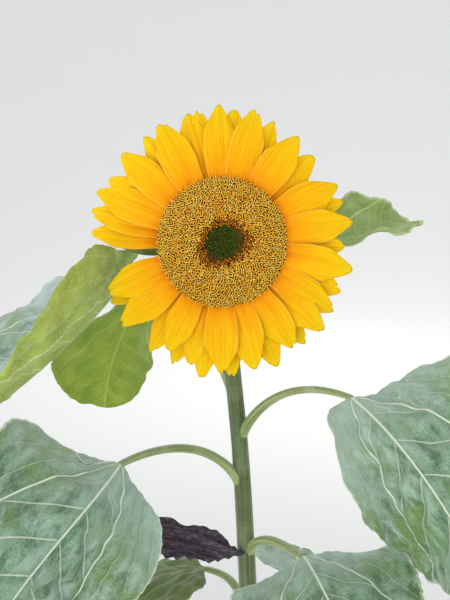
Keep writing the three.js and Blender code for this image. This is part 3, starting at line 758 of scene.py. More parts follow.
def leaf_under_look(name, dark, light, vein):
    """Lower face of a leaf: yellower, with a raised net of pale veins."""
    look = Look(name, 0.55)
    flat = look.where("flat")
    clouds = look.noise(flat, 0.035)
    net = look.cells(flat, 0.26)
    grain = look.noise(flat, 0.8)
    tissue = look.blend(look.fade(clouds, 0.35, 0.65), dark, light)
    tissue = look.blend(look.fade(net, 0.0, 0.12, 0.35, 0.0), tissue, vein)
    tissue = look.blend(look.fade(grain, 0.3, 0.7, 0.82, 1.0), BLACK, tissue)
    tissue = look.blend(look.times(vein_lines(look, flat, 1.15), 0.9), tissue, vein)
    ridges = look.fade(net, 0.0, 0.2, 1.0, 0.0)
    return look.finish(tissue, look.maths("ADD", ridges, look.times(grain, 0.5)), 0.4)


def withered_look():
    """Dry crumpled leaf: purple-black, with painted shade in its creases, pale pink painted highlights on its
    ridges and a little rust.
    """
    look = Look("withered_leaf", 0.75)
    folds = look.noise(look.where("flat", (0.35, 1, 1)), 0.5, 5.0, 0.7)
    rust = look.noise(look.where("flat"), 0.04, 2.0)
    # Painted shade and painted highlight: darker in the creases of the folds and pale pink on their ridges.
    stops = [(0.3, (0.018, 0.012, 0.02)), (0.5, (0.075, 0.055, 0.08)), (0.72, (0.28, 0.22, 0.26))]
    tissue = look.blend(look.fade(rust, 0.62, 0.74, 0.0, 0.3), look.ramp(folds, stops), (0.16, 0.03, 0.012))
    return look.finish(tissue, folds, 2.6)


def petal_look(name, shade):
    """Ray petal: orange at its foot to yellow at its tip, with fine lengthwise lines of painted shade along
    its grooves and a paler rim.
    """
    look = Look(name, 0.65, Specular_IOR_Level=0.12)
    held = look.where("ray")
    cloud = look.noise(look.where("ray", (2.2, 1.3, 1)), 1.0, 2.0)
    place = look.maths("ADD", look.part(held, 0), look.times(look.maths("SUBTRACT", cloud, 0.5), 0.5))
    tones = [
        (0.0, (0.86, 0.24, 0.0)),
        (0.16, (1.0, 0.38, 0.0)),
        (0.42, (1.0, 0.52, 0.001)),
        (0.8, (1.0, 0.63, 0.002)),
        (1.0, (1.0, 0.72, 0.01)),
    ]
    tones = [(stop, (red * shade, green * shade, blue)) for stop, (red, green, blue) in tones]
    lines = look.noise(look.where("ray", (0.5, 11, 1)), 1.6, 2.0)
    groove = (0.85 * shade, 0.27 * shade, 0.0)
    # Painted shade: darker orange lines along the grooves.
    tissue = look.blend(look.fade(lines, 0.3, 0.55, 0.45), groove, look.ramp(place, tones))
    edge = look.fade(look.maths("ABSOLUTE", look.part(held, 1)), 0.9, 1.0, 0.0, 0.5)
    return look.finish(look.blend(edge, tissue, (1.0, 0.72, 0.10)), lines, 0.35)


def bract_look():
    """Receptacle and bracts: clouded green with pale lengthwise lines."""
    look = Look("head_green", 0.55)
    lines = look.noise(look.where("ray", (0.6, 7, 1)), 1.4)
    cloud = look.noise(look.where("ray"), 1.2, 2.0)
    tissue = look.blend(look.fade(cloud, 0.35, 0.65), (0.10, 0.19, 0.03), (0.22, 0.34, 0.07))
    tissue = look.blend(look.fade(lines, 0.5, 0.75, 0.0, 0.5), tissue, (0.36, 0.46, 0.16))
    return look.finish(tissue, lines, 0.4)


withered = withered_look()
hair = plain_look("hair", (0.78, 0.80, 0.66), 0.5)
stem_skin = limb_look("stem", (0.055, 0.085, 0.02), (0.145, 0.20, 0.065), (0.32, 0.38, 0.2))
stalk_skin = limb_look("stalk", (0.18, 0.24, 0.06), (0.40, 0.48, 0.20), (0.76, 0.82, 0.58))
petal_sides = [petal_look("petal", 1.0), petal_look("petal_back", 0.85)]
disc_tones = [plain_look(*row, Specular_IOR_Level=gloss) for *row, gloss in DISC_TONES]
leaf_sides = {"withered": [withered, withered]}
for tone, (above, net, below) in LEAF_TONES.items():
    top_look = leaf_top_look("leaf_top_" + tone, *above, net)
    leaf_sides[tone] = [top_look, leaf_under_look("leaf_under_" + tone, *below)]


# Stem
def spline(points, per_span=60):
    """The centripetal Catmull-Rom curve through the given points, as the solids' stem has it."""
    points = np.array(points, float)
    first = 2 * points[0] - points[1]
    last = 2 * points[-1] - points[-2]
    p = np.vstack([first, points, last])
    made = []
    for i in range(1, len(p) - 2):
        d0, d1, d2 = (np.linalg.norm(p[i + k] - p[i + k - 1]) ** 0.5 for k in (0, 1, 2))
        t1 = ((p[i] - p[i - 1]) / d0 - (p[i + 1] - p[i - 1]) / (d0 + d1) + (p[i + 1] - p[i]) / d1) * d1
        t2 = ((p[i + 1] - p[i]) / d1 - (p[i + 2] - p[i]) / (d1 + d2) + (p[i + 2] - p[i + 1]) / d2) * d1
        t = np.arange(per_span)[:, None] / per_span
        cubic = 2 * p[i] - 2 * p[i + 1] + t1 + t2
        square = -3 * p[i] + 3 * p[i + 1] - 2 * t1 - t2
        made.append(p[i] + t1 * t + square * t**2 + cubic * t**3)
    return np.vstack([*made, points[-1:]])


yaw, tilt = math.radians(HEAD_YAW), math.radians(HEAD_TILT)
head_normal = np.array([math.sin(yaw) * math.cos(tilt), -math.cos(yaw) * math.cos(tilt), math.sin(tilt)])
head_right = unit(np.cross([0, 0, 1], head_normal))
head_up = np.cross(head_normal, head_right)
neck_end = HEAD_CENTRE - head_normal * (3 * WHORL_PITCH + RECEPTACLE_DEPTH)
neck_bend = neck_end - head_normal * NECK_STRAIGHT - np.array([0, 0, NECK_SAG])
stem_tube = Tube(spline([*STEM_LINE, neck_bend, neck_end]), (1, 0, 0))


def stem_radius(share, angle):
    along = share * stem_tube.length
    thinning = np.minimum(1, along / STEM_TAPER_LENGTH) ** STEM_TAPER_POWER
    taper = mix(STEM_RADIUS_BASE, STEM_RADIUS_TOP, thinning)
    flare = STEM_FLARE * np.exp(-along / STEM_FLARE_HEIGHT)
    swell = (NECK_RADIUS - STEM_RADIUS_TOP) * smooth(1 - (stem_tube.length - along) / NECK_SWELL_LENGTH)
    ribs = np.abs(np.sin(STEM_RIBS / 2 * (angle + STEM_RIB_TWIST * along))) - STEM_RIB_LEVEL
    wander = STEM_WANDER * np.sin(3 * angle + along / STEM_WANDER_LENGTH)
    return taper + flare + swell + STEM_RIB_DEPTH * ribs + wander


def stem_at(height):
    """The stem's centre at a height above the ground."""
    line = stem_tube.line
    rising = line[line[:, 2] < line[:, 2].max() - 1]
    return read_off(height, rising[:, 2], rising)


def limb_hairs(piece, tube, radius, seed, count, length, low, high):
    """Scatters short hairs over a limb, from one share of its length to another."""
    rng = np.random.default_rng(SEED + seed)
    share = rng.uniform(low, high, count)
    angle = rng.uniform(0, 2 * np.pi, count)
    roots, out = tube.place(share, angle, radius)
    lean = out + rng.normal(0, HAIR_LEAN, (count, 3))
    add_hairs(piece, roots - out * 0.1, unit(lean), length * rng.uniform(0.5, 1.3, count), HAIR_RADIUS)


def build_stem():
    """The stem: ribbed and hairy, with no point of its skin below the ground."""
    piece = Piece()
    add_tube(piece, stem_tube, STEM_GRID, stem_radius)
    skin_points = piece.points[0]
    skin_points[:, 2] = np.maximum(skin_points[:, 2], 0)
    limb_hairs(piece, stem_tube, stem_radius, 1, **STEM_HAIRS)
    piece.finish("stem", "ribbed", "stem", [stem_skin, hair])


# Leaves
def outline(leaf, q, sinus):
    """The blade's outline at shares q of the way to its tip, along and across, as the solids have it."""
    angle = np.pi * (1 - q)
    beside = ((np.pi - angle) / OUTLINE_SINUS_ANGLE) ** 2
    along = (1 - OUTLINE_LOBE) / 2 + (1 + OUTLINE_LOBE) / 2 * np.cos(angle)
    along = along + OUTLINE_LOBE * bell((np.pi - angle) / OUTLINE_LOBE_ANGLE)
    along = along + sinus * beside * np.exp(1 - beside)
    ovate = (1 - OUTLINE_OVATE * np.cos(angle)) / OUTLINE_WIDEST
    point = 1 - leaf["point"] * bell(angle / OUTLINE_POINT_ANGLE)
    pinch = mix(leaf["pinch"], 1, smooth(q / OUTLINE_PINCH_LENGTH))
    return along, np.maximum(0, np.sin(angle)) ** OUTLINE_FULLNESS * ovate * point * pinch


def blade_margin(leaf, q, sinus):
    """The margin of one half of the flat blade, along and across, and how far its collar slants."""
    along, across = outline(leaf, q, sinus)
    collar = BLADE_COLLAR * (1 - q) ** BLADE_FOOT_POWER
    slant = collar * COLLAR_SLANT * min(0, sinus)
    return leaf["length"] * along, across * leaf["width"] / 2 + collar, slant


def leaf_frame(leaf, x):
    """Directions of a leaf's midrib, its left side and its upper face at shares x of its length."""
    x = np.asarray(x, float)
    heading = np.radians(leaf["heading"] + leaf["turn"] * x)
    pitch = np.radians(mix(leaf["pitch"], leaf["droop"], x))
    roll = np.radians(leaf["roll"] + leaf["twist"] * x)[..., None]
    along = polar(np.cos(pitch), heading, np.sin(pitch))
    level = np.stack([-np.sin(heading), np.cos(heading), 0 * heading], axis=-1)
    over = np.cross(along, level)
    return along, level * np.cos(roll) + over * np.sin(roll), over * np.cos(roll) - level * np.sin(roll)


def leaf_bending(leaf, foot):
    """A function that places points of the flat blade, along and across in millimetres."""
    length, half_width = leaf["length"], leaf["width"] / 2
    middles = (np.arange(MIDRIB_STEPS) + 0.5) / MIDRIB_STEPS
    steps = leaf_frame(leaf, middles)[0] * length / MIDRIB_STEPS
    midrib = foot + np.vstack([np.zeros(3), np.cumsum(steps, axis=0)])
    ticks = np.linspace(0, 1, MIDRIB_STEPS + 1)

    def place(s, t):
        x = np.clip(s / length, 0, 1)
        ahead, side, up = leaf_frame(leaf, x)
        point = read_off(x, ticks, midrib) + ahead * (s - x * length)[..., None]
        left = t > 0
        out = np.abs(t)
        fold = np.radians(np.where(left, leaf["fold_l"], leaf["fold_r"]))
        bend = (np.radians(np.where(left, leaf["curl_l"], leaf["curl_r"])) + TINY) / half_width
        sideways = (np.sin(fold + bend * out) - np.sin(fold)) / bend
        upwards = (np.cos(fold) - np.cos(fold + bend * out)) / bend
        turn = 2 * np.pi * RUFFLE_WAVES * x + leaf["phase"] + np.where(left, 0, RUFFLE_SIDE_SHIFT)
        upwards = upwards + leaf["ruffle"] * (out / half_width) ** 2 * np.sin(turn)
        return point + side * (np.sign(t) * sideways)[..., None] + up * upwards[..., None]

    return place


def vein_pattern(leaf, s, t):
    """The veins of the flat blade: their strength from 0 to 1, and the distances, in millimetres, and counts
    from which the materials draw them as fine lines."""
    length, half = leaf["length"], leaf["width"] / 2
    out = np.abs(t)
    inside = 1 - np.clip(out / half, 0, 1)

    # Two strong side veins leave the foot and bend along the midrib.
    bend = SIDE_VEIN_REACH * length * (out / (SIDE_VEIN_SPREAD * half)) ** SIDE_VEIN_POWER
    slope = SIDE_VEIN_POWER * bend / np.maximum(out, 1)
    side = (s - bend) / np.sqrt(1 + slope**2)
    ahead = side > 0

    # Branches leave the midrib ahead of each of them, and the foot behind it.
    inner = ((s - INNER_SLANT * out - INNER_BEND * out**2 / half) / length - INNER_FIRST) * INNER_VEINS
    fan = s + OUTER_BEHIND * length
    outer = (np.arctan2(out, fan) - OUTER_FIRST + OUTER_BEND * np.hypot(s, out) / half) * OUTER_VEINS
    branch = np.where(ahead, inner, outer)
    spacing = np.where(ahead, length / INNER_VEINS * 0.8, np.hypot(fan, out) / OUTER_VEINS)
    off_branch = np.abs(branch - np.round(branch)) * spacing
    there = smooth(out / 4) * smooth(inside * 4) * smooth(np.abs(side) / 3)
    there = there * np.where(ahead, smooth(inner + 0.6), 0.6 * smooth(outer + 1.2) * smooth(7 - outer))

    fade = smooth(inside * 2.5)
    strength = bell(out / mix(*MIDRIB_WIDTHS, np.clip(s / length, 0, 1)))
    strength = np.maximum(strength, 0.9 * fade * bell(side / mix(*SIDE_VEIN_WIDTHS, fade)))
    strength = np.maximum(strength, 0.6 * there * bell(off_branch / BRANCH_WIDTH))
    nearest = np.minimum(out, np.abs(side) + 6 * (1 - fade))
    nearest = np.minimum(nearest, off_branch + 8 * (1 - there))
    held = {"nearest": nearest, "side": side, "side_fade": fade, "branch": branch, "branch_fade": there}
    return strength, held


def flat_blade(leaf, grid, seed):
    """A grid over the flat blade, along and across in millimetres, with forward teeth at its margin, then
    each point's share of the way to the margin and the half width there."""
    rows, columns = grid
    q = np.linspace(0, 0.9985, rows)[:, None]
    line = np.linspace(-1, 1, 2 * columns + 1)[None, :]
    v = np.sign(line) * np.abs(line) ** 1.3
    halves = [blade_margin(leaf, q, leaf[sinus]) for sinus in ("sinus_r", "sinus_l")]
    along, half, back = (np.where(v > 0, left, right) for right, left in zip(*halves))
    s = mix(leaf["length"] * q * q, along, np.abs(v)) + back * np.abs(v)
    t = half * v
    for edge in (0, -1):
        edge_s, edge_t = along[:, edge], half[:, edge]
        travel = np.concatenate([[0], np.cumsum(np.hypot(np.diff(edge_s), np.diff(edge_t)))])
        run_s, run_t = np.gradient(edge_s), np.gradient(edge_t)
        run = np.hypot(run_s, run_t)
        uneven = TOOTH_UNEVEN * np.sin(travel / TOOTH_UNEVEN_LENGTH + seed + 2 * edge)
        phase = travel / TOOTH_SPACING + uneven
        step = phase - np.floor(phase)
        tooth = np.where(step < TOOTH_RISE, step / TOOTH_RISE, (1 - step) / (1 - TOOTH_RISE)) - TOOTH_LEVEL
        depth = leaf["tooth"] * np.sin(np.pi * q[:, 0]) ** 0.4 * tooth
        here = np.abs(v) ** 12 * ((v > 0) == (edge == -1))
        s = s - (depth * run_t / run)[:, None] * here
        t = t + (depth * run_s / run)[:, None] * here * np.sign(v)
    return s, t, np.abs(v) + 0 * s, half + 0 * s


def blade_relief(leaf, s, t, nearest, margin, seed):
    """How far the tissue rises above the plain bent blade: quilted, waved, fluttered and crumpled."""
    flat = np.stack([s, t], axis=-1)
    lift = QUILT_HEIGHT * (1 - bell(nearest / QUILT_WIDTH)) * smooth(nearest / 3)
    for height, wavelength, salt, calm in BLADE_WAVES:
        lift = lift + height * ripple(flat, wavelength, seed + salt) * smooth(np.abs(t) / calm)
    lift = lift + leaf["flutter"] * ripple(flat, FLUTTER_LENGTH, seed + 90) * margin**6
    ridges = np.cos(2 * np.pi * (t / RIDGE_SPACING + 0.5 * np.sin(s / 26)))
    return lift + leaf["crumple"] * (ripple(flat * [0.3, 1], CRUMPLE_LENGTH, seed + 30) + 0.5 * ridges)


def bent_blade(leaf, foot, grid, seed):
    """Top and bottom grids of a blade's points, and the values that its materials read."""
    s, t, margin, width = flat_blade(leaf, grid, seed)
    x = np.clip(s / leaf["length"], 0, 1)
    place = leaf_bending(leaf, foot)
    points = place(s, t)

    # The way out of the bent blade, which at the midrib is the frame's own.
    nudge = 0.5
    d_along = place(s + nudge, t) - place(s - nudge, t)
    outward = np.where(t < 0, -nudge, nudge)
    d_across = (place(s, t + outward) - points) * np.sign(outward)[..., None]
    normal = unit(np.cross(d_along, d_across))
    normal = unit(mix(normal, leaf_frame(leaf, x)[2], bell(t / 2.5)[..., None]))

    strength, held = vein_pattern(leaf, s, t)
    points = points + normal * blade_relief(leaf, s, t, held["nearest"], margin, seed)[..., None]
    rib = strength * mix(*RIB_HEIGHTS, x**0.7) * np.where(np.abs(t) < 4, 1, 0.55)
    top = points + normal * (BLADE_THICKNESS / 2 - RIB_ABOVE * rib)[..., None]
    bottom = points - normal * (BLADE_THICKNESS / 2 + rib)[..., None]
    flat = np.stack([s, t, 0 * s + 400 * seed], axis=-1)
    return top, bottom, {"flat": flat, "margin": margin, "width": width, **held}


def build_stalk(leaf, root, foot, seed):
    """A stalk from inside the stem to under the blade's foot: ribbed, grooved on top and, unless the leaf is
    withered, hairy.
    """
    out = compass(leaf["bearing"])
    leave = math.radians(leaf["leave"])
    start = polar(math.cos(leave), math.radians(leaf["bearing"]), math.sin(leave))
    span = np.linalg.norm(foot - root)
    along, _, up = leaf_frame(leaf, 0.0)
    end = foot - up * leaf["stalk_drop"]
    root_pull = root + start * span * STALK_BOW_ROOT
    end_pull = end - unit(along + out) * span * STALK_BOW_TIP
    t = np.linspace(0, 1, 60)[:, None]
    shares = [(1 - t) ** 3, 3 * t * (1 - t) ** 2, 3 * t * t * (1 - t), t**3]
    curve = sum(share * point for share, point in zip(shares, [root, root_pull, end_pull, end]))
    tube = Tube(curve, np.cross([0, 0, 1], out))

    def radius(share, angle):
        flare = STALK_FLARE * np.exp(-share * tube.length / STALK_FLARE_LENGTH)
        ribs = STALK_RIB_DEPTH * np.sin(STALK_RIBS * angle + 0.6)
        groove = STALK_GROOVE * bell((angle - np.pi / 2) / STALK_GROOVE_WIDTH) * smooth(share * 3)
        return mix(leaf["stalk_radius"], leaf["stalk_tip"], share) + flare + ribs - groove

    piece = Piece()
    node = "stalk_" + leaf["name"]
    if leaf["tone"] == "withered":
        add_tube(piece, tube, STALK_GRID, radius, "flat")
        piece.finish(node, "ribbed", "withered_leaf", [withered])
    else:
        add_tube(piece, tube, STALK_GRID, radius)
        limb_hairs(piece, tube, radius, 20 + seed, **STALK_HAIRS)
        piece.finish(node, "ribbed", "stalk", [stalk_skin, hair])


def lower_leaf(i):
    """The values of a lower leaf, by the solids' rule."""
    down = i / (LOWER_COUNT - 1)
    bearing = LOWER_FIRST_BEARING + GOLDEN_ANGLE * i
    return dict(
        name=f"lower_{i + 1}",
        height=LOWER_TOP - LOWER_STEP * i,
        bearing=bearing + between(i, 1, -8, 8),
        reach=mix(104, 72, down) + between(i, 2, -6, 6),
        rise=mix(40, 12, down) + between(i, 3, -5, 5),
        leave=mix(56, 42, down),
        heading=bearing + between(i, 4, -14, 14),
        turn=between(i, 19, -16, 16),
        pitch=mix(-4, -26, down) + between(i, 6, -5, 5),
        droop=mix(-62, -78, down) + between(i, 7, -6, 6),
        roll=between(i, 18, -10, 10),
        twist=between(i, 9, -20, 20),
        length=mix(212, 148, down**LOWER_SIZE_POWER) + between(i, 10, -8, 8),
        width=mix(178, 118, down**LOWER_SIZE_POWER) + between(i, 11, -8, 8),
        fold_l=between(i, 24, 2, 16),
        fold_r=between(i, 25, 2, 16),
        curl_l=between(i, 14, -46, -14),
        curl_r=between(i, 15, -46, -14),
    )


def build_leaf(row, i):
    """A leaf on its stalk. The upper ones, which the photo shows, have the finer grids."""
    leaf = {**LEAF_DEFAULTS, "ruffle": between(i, 30, 2, 5), "phase": between(i, 31, 0, 6), **row}
    root = stem_at(leaf["height"])
    foot = root + polar(leaf["reach"], math.radians(leaf["bearing"]), leaf["rise"])
    build_stalk(leaf, root, foot, i)
    grid = UPPER_GRID if i < len(UPPER_LEAVES) else LOWER_GRID
    top, bottom, values = bent_blade(leaf, foot, grid, i + 1)
    piece = Piece()
    piece.slab(top, bottom, [FACE, BACK, BACK], **values)
    slot = "withered_leaf" if leaf["tone"] == "withered" else "leaf"
    piece.finish("leaf_" + leaf["name"], "veined", slot, leaf_sides[leaf["tone"]])


# Flower head
def head_point(local):
    """Points of the head's own frame, whose third axis is the way the flower faces, in the plant's frame."""
    return HEAD_CENTRE + np.asarray(local) @ np.array([head_right, head_up, head_normal])


def disc_height(radius):
    dome = DISC_DOME * (1 - (radius / DISC_RADIUS) ** 4)
    return DISC_RIM_HEIGHT + dome - DISC_DIMPLE * bell(radius / DISC_DIMPLE_RADIUS)


def add_lathe(piece, grid, kind, **values):
    """Adds a solid of revolution about the head's axis, from its grid of points."""
    piece.add(head_point(grid), [grid_faces(*grid.shape[:2], wrap=True)], kind, **values)


def add_ray(piece, ray, outline_at, relief, kinds):
    """Adds a petal or bract, which leaves the head's axis at an angle along a bending line.

    outline_at(ray, u, v) gives a grid's shares along and millimetres across, and relief(ray, x, v) lifts its
    face. Returns the points of its lower face."""
    rows, columns = ray["grid"]
    angle = math.radians(ray["angle"])
    u = np.linspace(0, 1, rows)[:, None]
    v = np.linspace(-1, 1, columns)[None, :] + 0 * u
    x, y = outline_at(ray, u, v)
    low = math.radians(ray["rise"])
    bend = math.radians(ray["recurve"] - ray["rise"]) + TINY
    slope = low + bend * x
    ahead = (np.sin(slope) - math.sin(low)) / bend * ray["length"]
    lift = (math.cos(low) - np.cos(slope)) / bend * ray["length"]
    normal = polar(-np.sin(slope), angle, np.cos(slope))
    point = polar(ray["root"] + ahead, angle, ray["height"] + lift) + normal * relief(ray, x, v)[..., None]
    point = point + compass(ray["angle"] + 90) * y[..., None]
    half = normal * ray["thickness"] / 2
    bottom = head_point(point - half)
    held = np.stack([x * ray["stretch"], v, 0 * x + ray["own"] * 3], axis=-1)
    piece.slab(head_point(point + half), bottom, kinds, ray=held)
    return bottom.reshape(-1, 3)


def petal_outline(petal, u, v):
    """A petal is narrow at its foot and blunt at its tip, where it may have a notch."""
    notch = max(0, petal["notch"]) * bell((v - petal["notch_at"]) / NOTCH_WIDTH)
    x = u * (1 - petal["end"] * np.abs(v - petal["skew"]) ** petal["blunt"] - notch)
    narrow = 1 - PETAL_TIP_LOSS * smooth((x - 0.5) / 0.5)
    return x, petal["half"] * v * mix(PETAL_FOOT_WIDTH, 1, smooth(x / 0.42)) * narrow


def petal_relief(petal, x, v):
    """Fine grooves, two folds, ripples at the sides, a cup and a roll."""
    across = v * petal["half"]
    fine = PETAL_GROOVE_DEPTH * np.cos(2 * np.pi * PETAL_GROOVES * v) * smooth(x * 5)
    folds = sum(bell((v + place) / PETAL_FOLD_WIDTH) for place in (-PETAL_FOLD_PLACE, PETAL_FOLD_PLACE))
    folds = PETAL_FOLD_DEPTH * folds * smooth(x * 4) * (1 - smooth((x - 0.7) / 0.3))
    sheet = np.stack([x * petal["length"], across], axis=-1)
    ripples = petal["wave"] * ripple(sheet, PETAL_RIPPLE_LENGTH, petal["own"]) * np.abs(v) * smooth(x * 2)
    roll = math.tan(math.radians(petal["roll"])) * across * smooth(x / 0.4)
    return fine - folds + ripples - petal["cup"] * v * v * smooth(x / 0.3) + roll


def build_petals(whorl, level):
    """One whorl of ray petals, each cupped and bent in its own way, on a ring round the disc."""
    piece = Piece()
    for i, (angle, length) in enumerate(whorl["petals"]):
        own = 40 * level + i
        petal = {key: between(own, *spread) for key, spread in PETAL_SPREAD.items()}
        petal.update(
            own=own,
            angle=angle,
            length=length,
            half=whorl["width"] / 2 * petal["breadth"],
            root=PETAL_ROOT_RADIUS,
            height=-WHORL_PITCH * level - PETAL_SINK,
            rise=PETAL_RISE + petal["rise"],
            recurve=mix(PETAL_RISE, PETAL_RECURVE, length / PETAL_FULL_LENGTH) + petal["recurve"],
            thickness=PETAL_THICKNESS,
            stretch=1,
            grid=PETAL_GRID,
        )
        add_ray(piece, petal, petal_outline, petal_relief, [FACE, BACK, FACE])
    ring = turned(PETAL_RING, full_turn(60)) - np.array([0, 0, WHORL_PITCH * level])
    add_lathe(piece, ring, BACK, ray=0 * ring)
    piece.finish(whorl["name"], "grooved", "petal", petal_sides)


def floret_frames(points):
    """Outward, radial and sideways directions of the disc's face at points of the head's frame."""
    radius = np.linalg.norm(points[:, :2], axis=1, keepdims=True)
    radial = points * [1, 1, 0] / np.maximum(radius, TINY)
    rise = disc_height(radius + 0.5) - disc_height(radius - 0.5)
    out = unit(np.array([0, 0, 1.0]) - radial * rise)
    return out, radial, np.cross(out, radial)


def add_rods(piece, centres, widths, sides, kind):
    """Adds a bent rod with narrow ends for each row of centres, with a width at each step along it."""
    rods, steps = centres.shape[:2]
    ahead = unit(np.gradient(centres, axis=1))
    helper = unit(np.cross(ahead, np.array([0.31, 0.2, 0.93])))
    other = np.cross(ahead, helper)
    reach = np.broadcast_to(widths, (rods, steps))[..., None]
    ways = [helper * math.cos(angle) + other * math.sin(angle) for angle in full_turn(sides)]
    points = np.stack([centres + way * reach for way in ways], axis=2)
    one = grid_faces(steps, sides, wrap=True, flip=True)
    faces = (one[None] + (np.arange(rods) * steps * sides)[:, None, None]).reshape(-1, 4)
    kinds = np.repeat(np.broadcast_to(kind, rods), len(one))
    piece.add(head_point(points), [faces], kinds)


def above(spots, ways, heights):
    """A row of points for each spot, at heights along a way of its own."""
    return spots[:, None] + ways[:, None] * heights[..., None]


def build_disc():
    """The disc: florets in close spirals, the open ones with two curled gold arms, round green buds."""
    piece = Piece()
    rng = np.random.default_rng(SEED)
    back = 1 - 3 * WHORL_PITCH
    face = [[r, disc_height(r) - FLORET_DEPTH] for r in np.linspace(DISC_RADIUS, AXIS_RADIUS, 40)]
    profile = [[AXIS_RADIUS, back], [DISC_NECK_RADIUS, back], [DISC_NECK_RADIUS, -0.5], *face]
    ground = [DISC_BASE] * 3 + [BUD_DARK if r < BUD_GROUND_RADIUS else DISC_BASE for r, _ in face[:-1]]
    add_lathe(piece, turned(profile, full_turn(96)), np.repeat(ground, 96))

    # Where the florets stand, and their stages: 0 is a bud, 1 is young and 2 is open.
    n = np.arange(FLORET_COUNT) + 0.5
    angle = np.radians(FLORET_ANGLE * n)
    radius = (DISC_RADIUS - FLORET_INSET) * np.sqrt(n / FLORET_COUNT) + rng.normal(0, 0.12, FLORET_COUNT)
    spots = polar(radius, angle, disc_height(radius) - FLORET_DEPTH)
    edge = sum(height * np.sin(waves * angle + start) for height, waves, start in CENTRE_WAVES)
    edge = edge + rng.normal(0, 1.3, FLORET_COUNT)
    stage = (radius >= BUD_RADIUS + edge).astype(int) + (radius >= YOUNG_RADIUS + edge)
    out, radial, sideways = floret_frames(spots)

    # Buds, the tubes of the other florets, and pale tips on some buds.
    heights = STAGE_HEIGHTS[stage] * rng.uniform(0.85, 1.15, FLORET_COUNT)
    deal = rng.random(FLORET_COUNT)
    tones = STAGE_TONES[stage, (deal >= STAGE_SHARES[stage]).astype(int)]
    add_rods(piece, above(spots, out, heights[:, None] * FLORET_STEPS), STAGE_WIDTHS[stage], 5, tones)
    tipped = (stage == 0) & (deal < TIPPED_SHARE)
    tips = above(spots[tipped], out[tipped], heights[tipped, None] * TIP_HEIGHTS)
    add_rods(piece, tips, TIP_WIDTHS, 4, BUD_TIP)

    # Two arms on each open floret, one on each young one, each an arch that curls down.
    spin = rng.uniform(0, 2 * np.pi, FLORET_COUNT)[:, None]
    for chosen, turn in ((stage > 0, 0), (stage == 2, np.pi)):
        young = stage[chosen] == 1
        many = len(young)
        heading = radial[chosen] * np.cos(spin[chosen] + turn) * 1.25
        heading = heading + sideways[chosen] * np.sin(spin[chosen] + turn) * 0.7
        run = rng.uniform(1.1, 1.75, many) * np.where(young, 0.6, 1.0)
        arch = above(spots[chosen], heading, run[:, None] * ARM_STEPS)
        arch = arch + out[chosen][:, None] * ARM_HEIGHTS[:, None]
        deal = rng.random(many)
        tones = ARM_TONES[np.digitize(deal, ARM_SHARES)]
        tones = np.where((radius[chosen] > OLIVE_RADIUS) & (deal > OLIVE_SHARE), OLIVE, tones)
        add_rods(piece, arch, ARM_WIDTHS, 4, np.where(young, YOUNG, tones))
    piece.finish("seed_disc", "florets", "disc", disc_tones)


def bract_outline(bract, u, v):
    """A bract is widest near its foot and drawn out to a point."""
    x = u * (1 - 0.1 * np.abs(v) ** 1.5)
    return x, bract["half"] * v * np.sin(np.pi * mix(0.3, 0.985, x)) ** 0.85


def bract_relief(bract, x, v):
    """A keel, fine lines, a cup and a wavy end."""
    keel = 0.5 * bell(v / 0.18) * (1 - x)
    lines = 0.12 * np.cos(2 * np.pi * 3.5 * v)
    wavy = 0.8 * ripple(np.stack([x * 30, v * 6], axis=-1), 20, bract["own"]) * x
    return keel + lines - 1.2 * v * v + wavy


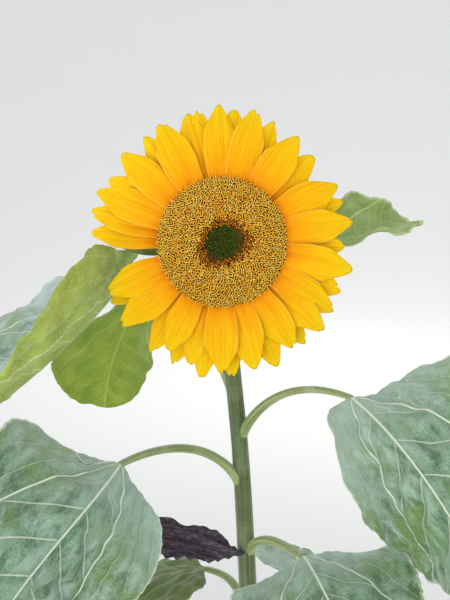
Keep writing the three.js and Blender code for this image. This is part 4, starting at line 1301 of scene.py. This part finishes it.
def build_receptacle():
    """The green back of the head, with two rows of pointed bracts and short hairs."""
    piece = Piece()
    top = -3 * WHORL_PITCH
    share = np.linspace(0, 1, 24)
    radius = mix(NECK_RADIUS + 1, RECEPTACLE_RADIUS, np.sin(share * np.pi / 2))
    height = mix(top - RECEPTACLE_DEPTH, top - RECEPTACLE_RIM, share**1.5)
    bowl = np.stack([radius, height], axis=1)
    profile = [[AXIS_RADIUS, height[0]], *bowl, [RECEPTACLE_RADIUS, top], [AXIS_RADIUS, top]]
    angle = full_turn(120)
    ribs = 1 + RECEPTACLE_RIB_DEPTH * np.abs(np.sin(RECEPTACLE_RIB_WAVES * angle))
    ray = polar(10, angle, np.array(profile)[:, :1] / 40)[..., [2, 0, 1]]
    add_lathe(piece, turned(profile, angle, ribs), SKIN, ray=ray)

    backs = []
    for level, row in enumerate(BRACT_ROWS):
        for i in range(row["count"]):
            own = 100 + 20 * level + i
            bract = dict(
                own=own,
                angle=row["first"] + 360 / row["count"] * i,
                length=(row["length"] + BRACT_INSET) * between(own, 61, 0.94, 1.02),
                half=row["width"] / 2,
                root=RECEPTACLE_RADIUS - BRACT_INSET,
                height=row["height"],
                rise=row["slope"],
                recurve=row["slope"] + BRACT_RECURVE + between(own, 60, -8, 8),
                thickness=BRACT_THICKNESS,
                stretch=2,
                grid=BRACT_GRID,
            )
            backs.append(add_ray(piece, bract, bract_outline, bract_relief, [SKIN] * 3))

    rng = np.random.default_rng(SEED + 5)
    spots = np.concatenate(backs)
    spots = spots[rng.choice(len(spots), HEAD_HAIRS)] + rng.normal(0, 0.3, (HEAD_HAIRS, 3))
    lean = unit(rng.normal(0, 0.6, (HEAD_HAIRS, 3)) - head_normal)
    add_hairs(piece, spots, lean, rng.uniform(0.8, 2.0, HEAD_HAIRS), HEAD_HAIR_RADIUS)
    piece.finish("receptacle", "bracts", "head_green", [bract_look(), hair])


# The plant
build_stem()
for index, row in enumerate([*UPPER_LEAVES, *(lower_leaf(i) for i in range(LOWER_COUNT))]):
    build_leaf(row, index)
build_disc()
for level, whorl in enumerate(WHORLS):
    build_petals(whorl, level)
build_receptacle()

# Floor, light and camera
rise = np.linspace(0, np.pi / 2, 20)
cove = np.stack([FLOOR_RADIUS + COVE_RADIUS * np.sin(rise), COVE_RADIUS * (1 - np.cos(rise))], axis=-1)
floor_grid = turned([[FLOOR_START, 0], *cove], full_turn(96))
floor = Piece()
floor.add(floor_grid, [grid_faces(*floor_grid.shape[:2], wrap=True)], SKIN)
floor.make("floor", [plain_look("floor", (0.80, 0.80, 0.79), 0.9)])

world = bpy.data.worlds.new("studio")
world.use_nodes = True
sky = world.node_tree.nodes["Background"]
sky.inputs["Color"].default_value = (0.86, 0.88, 0.90, 1)
sky.inputs["Strength"].default_value = 1.0
scene.world = world

for name, (place, size, power, colour) in SOFTBOXES.items():
    lamp = bpy.data.lights.new(name, "AREA")
    lamp.size = size
    lamp.energy = power
    lamp.color = colour
    softbox = add_object(name, lamp)
    softbox.location = place
    aim = unit(np.array(LIT_PLACE) - np.array(place))
    softbox.rotation_euler = (math.acos(aim[2]) - math.pi, 0, math.atan2(aim[1], aim[0]) - math.pi / 2)

camera = add_object("camera", bpy.data.cameras.new("camera"))
camera.location = CAMERA_PLACE
camera.rotation_euler = (math.radians(90 + CAMERA_PITCH), 0, 0)
camera.data.lens = CAMERA_LENS
camera.data.sensor_width = SENSOR
scene.camera = camera
scene.view_settings.view_transform = "Standard"
